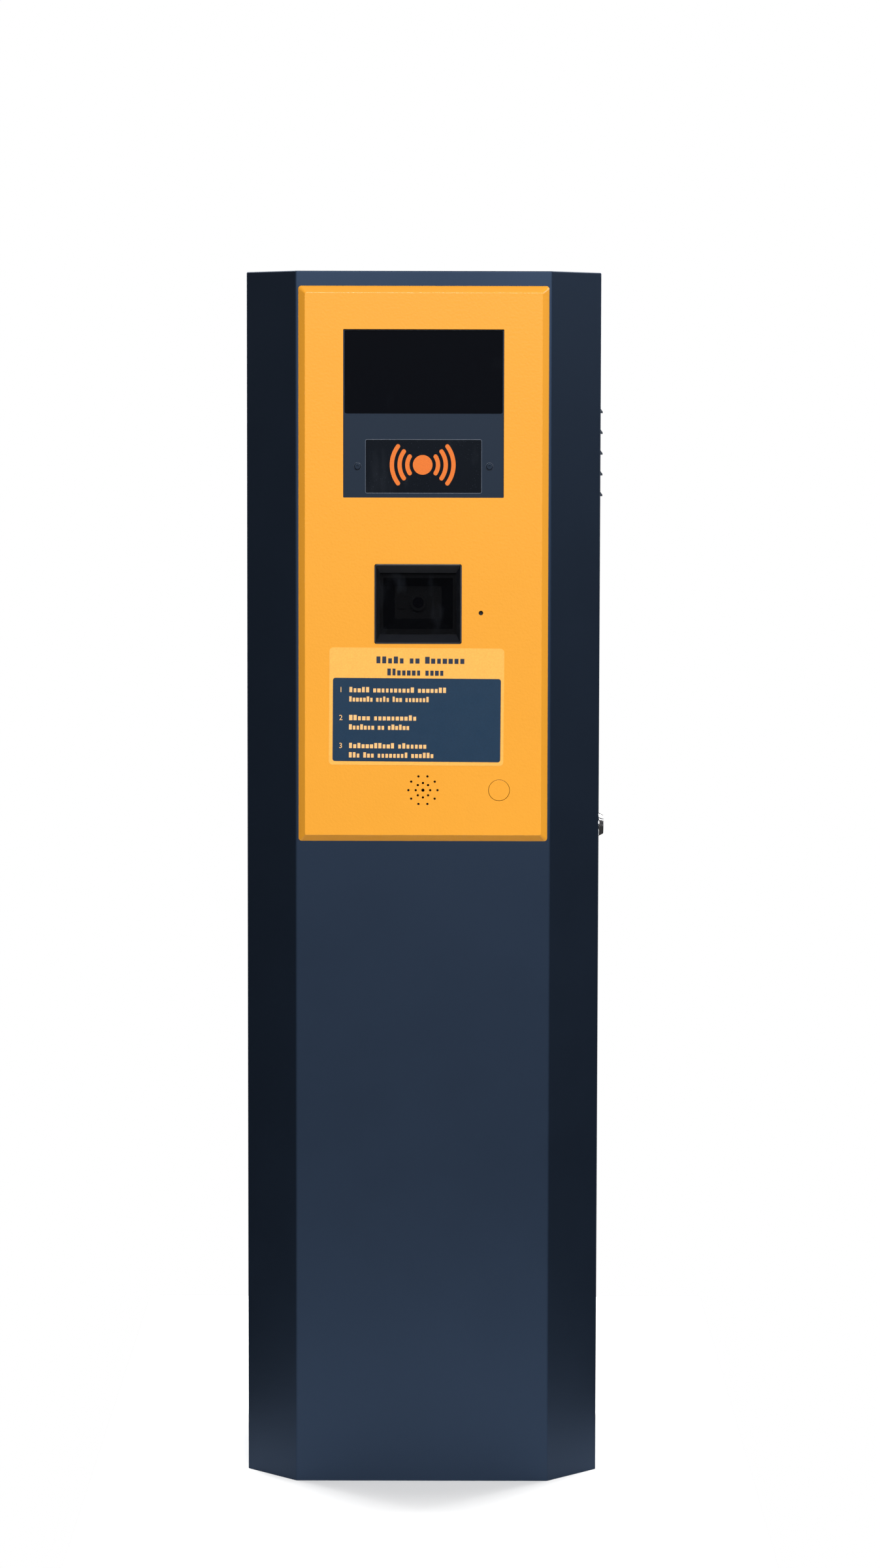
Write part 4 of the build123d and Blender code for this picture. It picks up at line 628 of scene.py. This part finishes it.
def screen_tree(name, material):
    """A plate pierced by a grid of round holes, left solid near each of the host's points."""
    tree, size = new_tree(
        name, Width="Float", Height="Float", Edge="Float", Pitch="Float", Hole="Float", Clear="Float",
        Thickness="Float", Place="Vector",
    )
    spans = {}
    counts = {}
    for way in ("Width", "Height"):
        inside = calc(tree, "SUBTRACT", size[way], calc(tree, "MULTIPLY", size["Edge"], 2.0))
        steps = calc(tree, "FLOOR", calc(tree, "DIVIDE", inside, size["Pitch"]))
        counts[way] = calc(tree, "ADD", steps, 1.0)
        spans[way] = calc(tree, "MULTIPLY", steps, size["Pitch"])
    grid = wired(
        tree,
        "GeometryNodeMeshGrid",
        {
            "Size X": spans["Width"], "Size Y": spans["Height"],
            "Vertices X": counts["Width"], "Vertices Y": counts["Height"],
        },
    )[0]
    near = wired(
        tree, "GeometryNodeProximity", {"Geometry": size["Geometry"]}, target_element="POINTS"
    )["Distance"]
    kept = wired(
        tree,
        "GeometryNodeDeleteGeometry",
        {"Geometry": grid, "Selection": calc(tree, "LESS_THAN", near, size["Clear"])},
    )[0]
    ring = wired(tree, "GeometryNodeCurvePrimitiveCircle", {"Resolution": 14, "Radius": size["Hole"]})[0]
    rings = wired(tree, "GeometryNodeInstanceOnPoints", {"Points": kept, "Instance": ring})[0]
    rim = wired(
        tree, "GeometryNodeCurvePrimitiveQuadrilateral", {"Width": size["Width"], "Height": size["Height"]}
    )[0]
    lines = tree.nodes.new("GeometryNodeJoinGeometry")
    tree.links.new(wired(tree, "GeometryNodeRealizeInstances", {"Geometry": rings})[0], lines.inputs[0])
    tree.links.new(rim, lines.inputs[0])
    sheet = wired(tree, "GeometryNodeFillCurve", {"Curve": lines.outputs[0]})[0]
    plate = thickened(tree, sheet, vector(tree, z=size["Thickness"]))
    standing = wired(
        tree,
        "GeometryNodeTransform",
        {"Geometry": plate, "Rotation": (math.pi / 2, 0.0, math.pi / 2), "Translation": size["Place"]},
    )[0]
    return finish_tree(tree, standing, material)


def bead_tree(material):
    """A weld bead: overlapping drops along the host's edges, each a little different."""
    tree, size = new_tree("weld_bead", Step="Float", Radius="Float", Vary="Float", Seed="Int")
    path = wired(tree, "GeometryNodeMeshToCurve", {"Mesh": size["Geometry"]})[0]
    spots = wired(
        tree, "GeometryNodeResampleCurve", {"Curve": path, "Length": size["Step"]}, mode="LENGTH"
    )[0]
    drop = wired(tree, "GeometryNodeMeshIcoSphere", {"Radius": size["Radius"], "Subdivisions": 2})[0]
    low = calc(tree, "SUBTRACT", 1.0, size["Vary"])
    high = calc(tree, "ADD", 1.0, size["Vary"])
    spread = wired(tree, "FunctionNodeRandomValue", {"Seed": size["Seed"]}, data_type="FLOAT")
    scale = wired(tree, "ShaderNodeMapRange", {"Value": spread[1], "To Min": low, "To Max": high})[0]
    drops = wired(
        tree, "GeometryNodeInstanceOnPoints", {"Points": spots, "Instance": drop, "Scale": scale}
    )[0]
    return finish_tree(tree, drops, material)


def rim_tree(name, material):
    """A thin round rim that follows the host's closed lines."""
    tree, size = new_tree(name, Radius="Float")
    path = wired(tree, "GeometryNodeMeshToCurve", {"Mesh": size["Geometry"]})[0]
    ring = wired(tree, "GeometryNodeCurvePrimitiveCircle", {"Resolution": 10, "Radius": size["Radius"]})[0]
    rim = wired(tree, "GeometryNodeCurveToMesh", {"Curve": path, "Profile Curve": ring})[0]
    return finish_tree(tree, rim, material)


def peg_tree(name, material):
    """A round peg at each place, lying along X."""
    tree, size = new_tree(name, Radius="Float", Length="Float")
    peg = wired(
        tree,
        "GeometryNodeMeshCylinder",
        {"Vertices": 24, "Radius": size["Radius"], "Depth": size["Length"]},
        fill_type="NGON",
    )[0]
    lying = wired(tree, "GeometryNodeTransform", {"Geometry": peg, "Rotation": (0.0, math.pi / 2, 0.0)})[0]
    pegs = wired(tree, "GeometryNodeInstanceOnPoints", {"Points": size["Geometry"], "Instance": lying})[0]
    return finish_tree(tree, pegs, material)


# ---------------------------------------------------------------- the label and the reader's sign
# sizes and places from here on are in mm, in the object's frame, unless a line says otherwise
LABEL_MIDDLE = (-6.5, 774.6)
LABEL_LEAN = math.radians(0.35)
INK_FACE = -157.27

# the blue field: its left, right, low and high edges, its corners, and how far it stands out and in
FIELD_EDGES = (-88.6, 76.2, 720.7, 802.7)
FIELD_CORNER = 2.5
FIELD_OUT = 0.04
FIELD_IN = 0.03

HEADING_HEIGHT = 6.8
TEXT_HEIGHT = 5.2
BAR_OUT = 0.06
BAR_THICKNESS = 0.08
# a letter's height as a part of its line's, its width as a part of the letters' pitch, and the
# gap between two words in pitches
LETTER_HEIGHTS = (0.74, 0.74, 0.74, 1.0)
LETTER_WIDTHS = (0.60, 0.78)
WORD_GAP = 0.7

NUMERAL_LEFT = -82.5
NUMERAL_HEIGHT = 7.4
NUMERAL_DROP = 2.6
NUMERAL_THICKNESS = 0.05
# points of a digit nearer than this, in metres, are one point
NUMERAL_SAME_PLACE = 1e-7

# each line of print: left end, right end, height of its middle, and the letters of its words
HEADER_LINES = (
    (-47.0, 41.0, 820.6, (5, 2, 7)),
    (-36.0, 20.5, 808.8, (7, 4)),
)
BODY_LINES = (
    (-73.0, 23.0, 791.2, (5, 10, 7)),
    (-73.0, 6.0, 782.0, (7, 4, 3, 7)),
    (-73.0, -6.0, 763.7, (5, 10)),
    (-73.0, -13.0, 754.5, (7, 2, 6)),
    (-73.0, 4.0, 736.2, (11, 7)),
    (-73.0, 11.0, 727.0, (3, 3, 8, 6)),
)


def on_label(x, z, y):
    """A place on the label, which is stuck on a little out of square, in metres."""
    dx, dz = x - LABEL_MIDDLE[0], z - LABEL_MIDDLE[1]
    turned_x = LABEL_MIDDLE[0] + dx * math.cos(LABEL_LEAN) + dz * math.sin(LABEL_LEAN)
    turned_z = LABEL_MIDDLE[1] - dx * math.sin(LABEL_LEAN) + dz * math.cos(LABEL_LEAN)
    return (turned_x * MM, y * MM, turned_z * MM)


def print_line(left, right, middle, words, tall, draw):
    """Stand-ins for print: one small upright bar for each letter, spaced as words."""
    pitch = (right - left) / (sum(words) + WORD_GAP * (len(words) - 1))
    places = []
    sizes = []
    x = left
    for letters in words:
        for _ in range(letters):
            high = tall * (draw.choice(LETTER_HEIGHTS) if places else 1.0)
            wide = pitch * draw.uniform(*LETTER_WIDTHS)
            places.append(on_label(x + pitch / 2, middle - tall / 2 + high / 2, INK_FACE - BAR_OUT))
            sizes.append((wide * MM, BAR_THICKNESS * MM, high * MM))
            x += pitch
        x += WORD_GAP * pitch
    return places, sizes


def make_print(name, lines, tall, material, seed):
    """All the bars of several lines of print, as one piece."""
    draw = random.Random(seed)
    places = []
    sizes = []
    for line in lines:
        line_places, line_sizes = print_line(*line, tall, draw)
        places += line_places
        sizes += line_sizes
    mesh = point_mesh(name, places, stretch=sizes)
    grown(name, mesh, block_tree(name, material), {"Lean": LABEL_LEAN}, "cabinet")


def rounded_outline(left, right, low, high, radius, steps=6):
    """The points of a rectangle with rounded corners."""
    corners = (
        (right - radius, high - radius, 0),
        (left + radius, high - radius, 90),
        (left + radius, low + radius, 180),
        (right - radius, low + radius, 270),
    )
    outline = []
    for x, z, start in corners:
        for i in range(steps + 1):
            angle = math.radians(start + 90 * i / steps)
            outline.append((x + radius * math.cos(angle), z + radius * math.sin(angle)))
    return outline


def plate_mesh(name, front, back, material):
    """A closed plate between two outlines that match point for point."""
    count = len(front)
    faces = [tuple(range(count)), tuple(range(2 * count - 1, count - 1, -1))]
    faces += [(i, (i + 1) % count, count + (i + 1) % count, count + i) for i in range(count)]
    mesh = bpy.data.meshes.new(name)
    mesh.from_pydata([*front, *back], [], faces)
    mesh.materials.append(material)
    return mesh


def make_label_field(material):
    """The blue field that the instructions are printed on."""
    outline = rounded_outline(*FIELD_EDGES, FIELD_CORNER)
    front = [on_label(x, z, INK_FACE - FIELD_OUT) for x, z in outline]
    back = [on_label(x, z, INK_FACE + FIELD_IN) for x, z in outline]
    settled("label_field", plate_mesh("label_field", front, back, material), "cabinet")


def make_numerals(material):
    """The step numbers on the label, each a thin raised digit."""
    for digit, (_, _, z, _) in zip("123", BODY_LINES[::2]):
        name = "label_numeral_" + digit
        curve = bpy.data.curves.new(name, "FONT")
        curve.body = digit
        curve.size = NUMERAL_HEIGHT * MM
        curve.extrude = NUMERAL_THICKNESS * MM
        host = bpy.data.objects.new(name + "_host", curve)
        scene.collection.objects.link(host)
        ready = host.evaluated_get(bpy.context.evaluated_depsgraph_get())
        mesh = bpy.data.meshes.new_from_object(ready)
        bpy.data.objects.remove(host)
        x, y, low = on_label(NUMERAL_LEFT, z - NUMERAL_DROP, INK_FACE - FIELD_OUT)
        mesh.transform(Matrix.Translation((x, y, low)) @ Matrix.Rotation(math.pi / 2, 4, "X"))
        work = bmesh.new()
        work.from_mesh(mesh)
        bmesh.ops.remove_doubles(work, verts=work.verts, dist=NUMERAL_SAME_PLACE)
        work.to_mesh(mesh)
        work.free()
        mesh.materials.clear()
        mesh.materials.append(material)
        settled(name, mesh, "cabinet")


def make_label(finishes):
    make_label_field(finishes["label_blue"])
    make_print("label_heading", HEADER_LINES, HEADING_HEIGHT, finishes["label_dark"], seed=11)
    make_print("label_text", BODY_LINES, TEXT_HEIGHT, finishes["label_light"], seed=12)
    make_numerals(finishes["label_light"])


def make_reader_sign(material):
    """The radio-wave sign, printed on the reader's window."""
    sizes = {
        "First": 15.0 * MM, "Step": 7.55 * MM, "Bar": 4.2 * MM, "Reach": math.radians(41), "Dot": 9.6 * MM,
        "Depth": 0.15 * MM, "Place": (-0.8 * MM, -154.26 * MM, 1011.5 * MM),
    }
    host = point_mesh("reader_sign", [(0, 0, 0)])
    grown("reader_sign", host, wave_tree(material), sizes, "cabinet")


def closed_lines(outlines, y):
    """Host points and edges of several closed outlines that lie in one upright plane."""
    places = []
    edges = []
    for outline in outlines:
        start = len(places)
        count = len(outline)
        places += [(x * MM, y * MM, z * MM) for x, z in outline]
        edges += [(start + i, start + (i + 1) % count) for i in range(count)]
    return places, edges


def round_outline(x, z, radius, steps=28):
    """The points of a circle."""
    turns = [2 * math.pi * i / steps for i in range(steps)]
    return [(x + radius * math.cos(a), z + radius * math.sin(a)) for a in turns]


READER_SCREW_X = 64.5
READER_SCREW_Z = 1010.0
READER_SCREW_RADIUS = 3.5

# each rim: its outlines, how far out it lies, and its wire's radius
# these rims carry painted highlights: their finish is paler than the plate, window and bezel that they edge
RIMS = {
    "reader_rims": ([rounded_outline(-56.8, 56.8, 983.8, 1036.2, 1.6)], -154.9, 0.35),
    "reader_screw_rims": (
        [round_outline(x, READER_SCREW_Z, READER_SCREW_RADIUS) for x in (-READER_SCREW_X, READER_SCREW_X)],
        -155.2, 0.30,
    ),
    "display_rim": ([rounded_outline(-78.2, 78.2, 1058.9, 1142.6, 3.0)], -153.1, 0.35),
    "scanner_rim": ([rounded_outline(-47.3, 37.1, 837.1, 914.1, 2.0)], -157.6, 0.35),
}


def make_rims(material):
    """Round rims along the edges of the reader's window, its screws, the display and the scanner, coloured
    much paler than what they edge: painted highlights on real round edges.
    """
    for name, (outlines, y, radius) in RIMS.items():
        host = point_mesh(name, *closed_lines(outlines, y))
        tree = rim_tree(name + "_rule", material)
        grown(name, host, tree, {"Radius": radius * MM}, "cabinet")


# ---------------------------------------------------------------- inside the door
# half the distances between the fan's screws, and between the screen's studs across and up
FAN_SCREWS = 35.75
SCREEN_STUDS = (68.0, 54.1)


def make_vent_screen(material):
    """The pierced guard plate inside the louvres, left solid round its studs and screws."""
    low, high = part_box("vent_screen")
    middle = [(a + b) / 2 for a, b in zip(low, high)]
    fixings = [
        (a * across * MM, b * up * MM, 0.0)
        for across, up in ((FAN_SCREWS, FAN_SCREWS), SCREEN_STUDS)
        for a in (-1, 1)
        for b in (-1, 1)
    ]
    sizes = {
        "Width": high[1] - low[1], "Height": high[2] - low[2], "Edge": 6.0 * MM, "Pitch": 5.0 * MM,
        "Hole": 1.75 * MM, "Clear": 6.0 * MM, "Thickness": high[0] - low[0],
        "Place": (low[0], middle[1], middle[2]),
    }
    host = point_mesh("vent_screen_pierced", fixings)
    tree = screen_tree("pierced_plate", material)
    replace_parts(grown("vent_screen_pierced", host, tree, sizes, "door"), "vent_screen")


HINGE_MIDDLES = (138.0, 601.0, 1064.0)
# each body's leaves: the far end, the end near the pin, and the side of the middle they are on
HINGE_LEAVES = {"cabinet": (143.0, 122.5, -1), "door": (95.0, 115.5, 1)}
LEAF_START = 0.2
LEAF_END = 32.2
LEAF_FACE = 175.3


def leaf_beads(y_free, y_near, low, high):
    """The three welded edges of a hinge leaf: the far end and the two long sides."""
    x = LEAF_FACE * MM
    corners = [(x, y_near, low), (x, y_free, low), (x, y_free, high), (x, y_near, high)]
    return corners, [(0, 1), (1, 2), (2, 3)]


def make_hinge_welds(material):
    """Weld beads round the hinge leaves, one piece on each body."""
    tree = bead_tree(material)
    for body, (edge_free, edge_near, sign) in HINGE_LEAVES.items():
        places = []
        edges = []
        for z in HINGE_MIDDLES:
            low, high = sorted((z + sign * LEAF_START, z + sign * LEAF_END))
            points, lines = leaf_beads(edge_free * MM, edge_near * MM, low * MM, high * MM)
            start = len(places)
            places += points
            edges += [(start + a, start + b) for a, b in lines]
        name = "hinge_welds_" + body
        sizes = {"Step": 1.0 * MM, "Radius": 1.15 * MM, "Vary": 0.14, "Seed": 5}
        grown(name, point_mesh(name, places, edges), tree, sizes, body)


# ---------------------------------------------------------------- small parts on the equipment plate
BOARD_MIDDLE = (22.0, 369.0)
BOARD_FACE = -139.4
# the parts that the board already has: their middles and sizes, across and up from the board's middle
LARGE_PARTS = (
    [(-26, 14, 24, 24), (6, 20, 14, 10), (6, 6, 14, 10), (34, 30, 9, 9), (-52, 27, 8, 22), (50, 8, 8, 8)]
    + [(12 + i * 19, -18, 15, 19) for i in range(3)]
    + [(-44 + i * 29, -47, 24, 9) for i in range(4)]
)
SMALL_PARTS = 90
TRIES_PER_PART = 30
BOARD_SEED = 21
SMALL_PART_SPAN = ((-60, 60), (-40, 50))
SMALL_PART_MARGIN = 2.4
SMALL_PART_SPACING = (3.4, 2.6)
CHIP_SIZE = (0.8, 1.5, 1.2)
CHIP_OUT = 0.4
CAP_SIZE = (0.7, 0.6, 1.25)
CAP_BACK = 0.05
CAP_FROM_MIDDLE = 1.05


def scattered(draw, count, span_y, span_z, keep_off, margin):
    """Places for small parts on a board, clear of the parts that it already has."""
    apart_y, apart_z = SMALL_PART_SPACING
    spots = []
    for _ in range(count * TRIES_PER_PART):
        if len(spots) == count:
            break
        y = draw.uniform(*span_y)
        z = draw.uniform(*span_z)
        busy = any(abs(y - b) < w / 2 + margin and abs(z - c) < h / 2 + margin for b, c, w, h in keep_off)
        crowded = any(abs(y - b) < apart_y and abs(z - c) < apart_z for b, c in spots)
        if not busy and not crowded:
            spots.append((y, z))
    return spots


def make_blocks(name, rule, places, size, material):
    """One piece of equal blocks, one at each place. The places are in metres and the size in mm."""
    stretch = [tuple(part * MM for part in size)] * len(places)
    host = point_mesh(name, places, stretch=stretch)
    grown(name, host, block_tree(rule, material), {"Lean": 0.0}, "cabinet")


def make_board_parts(finishes):
    """Small chips and resistors with tinned ends on the controller's board."""
    draw = random.Random(BOARD_SEED)
    middle_y, middle_z = BOARD_MIDDLE
    bodies, ends = [], []
    for y, z in scattered(draw, SMALL_PARTS, *SMALL_PART_SPAN, LARGE_PARTS, SMALL_PART_MARGIN):
        place = ((BOARD_FACE + CHIP_OUT) * MM, (middle_y + y) * MM, (middle_z + z) * MM)
        bodies.append(place)
        for side in (-1, 1):
            ends.append((place[0] - CAP_BACK * MM, place[1] + side * CAP_FROM_MIDDLE * MM, place[2]))
    make_blocks("controller_small_parts", "chip_rows", bodies, CHIP_SIZE, finishes["black"])
    make_blocks("controller_tinned_ends", "end_rows", ends, CAP_SIZE, finishes["tin"])


TERMINALS = 8
TERMINAL_START = 20.0
TERMINAL_PITCH = 6.0
TERMINAL_MIDDLE = 2.9
TERMINAL_HEIGHT = 250.0
CLAMP_SCREW_FACE = -109.5
CLAMP_SCREW_FROM_MIDDLE = 8.8
CLAMP_SCREW_RADIUS = 1.8
CLAMP_SCREW_LENGTH = 5.0
MARKER_FACE = -103.4
MARKER_SIZE = (0.6, 4.8, 6.0)


def make_terminal_details(finishes):
    """Clamp screws down in the terminals' wells, and a marker strip on each terminal."""
    places = []
    markers = []
    for i in range(TERMINALS):
        y = (TERMINAL_START + i * TERMINAL_PITCH + TERMINAL_MIDDLE) * MM
        markers.append((MARKER_FACE * MM, y, TERMINAL_HEIGHT * MM))
        for side in (-1, 1):
            z = TERMINAL_HEIGHT + side * CLAMP_SCREW_FROM_MIDDLE
            places.append((CLAMP_SCREW_FACE * MM, y, z * MM))
    sizes = {"Radius": CLAMP_SCREW_RADIUS * MM, "Length": CLAMP_SCREW_LENGTH * MM}
    host = point_mesh("terminal_screws", places)
    grown("terminal_screws", host, peg_tree("clamp_screws", finishes["zinc"]), sizes, "cabinet")
    make_blocks("terminal_markers", "marker_row", markers, MARKER_SIZE, finishes["white"])


# each sticker's middle and size: the supply's, then the loop detector's
STICKERS = (
    ((-120.98, 12.0, 560.0), (0.1, 60.0, 42.0)),
    ((-77.48, -6.0, 232.0), (0.1, 26.0, 16.0)),
)


def make_rating_plates(material):
    """Blank white stickers on the supply and the loop detector."""
    places, sizes = (
        [tuple(part * MM for part in triple) for triple in column] for column in zip(*STICKERS)
    )
    host = point_mesh("rating_stickers", places, stretch=sizes)
    tree = block_tree("stickers", material)
    grown("rating_stickers", host, tree, {"Lean": 0.0}, "cabinet")


make_camera()
make_floor()
make_studio()
finishes = make_finishes()
dress_nodes(finishes)
make_label(finishes)
make_reader_sign(finishes["icon"])
make_rims(finishes["edge"])
make_vent_screen(finishes["zinc"])
make_hinge_welds(finishes["body"])
make_board_parts(finishes)
make_terminal_details(finishes)
make_rating_plates(finishes["white"])
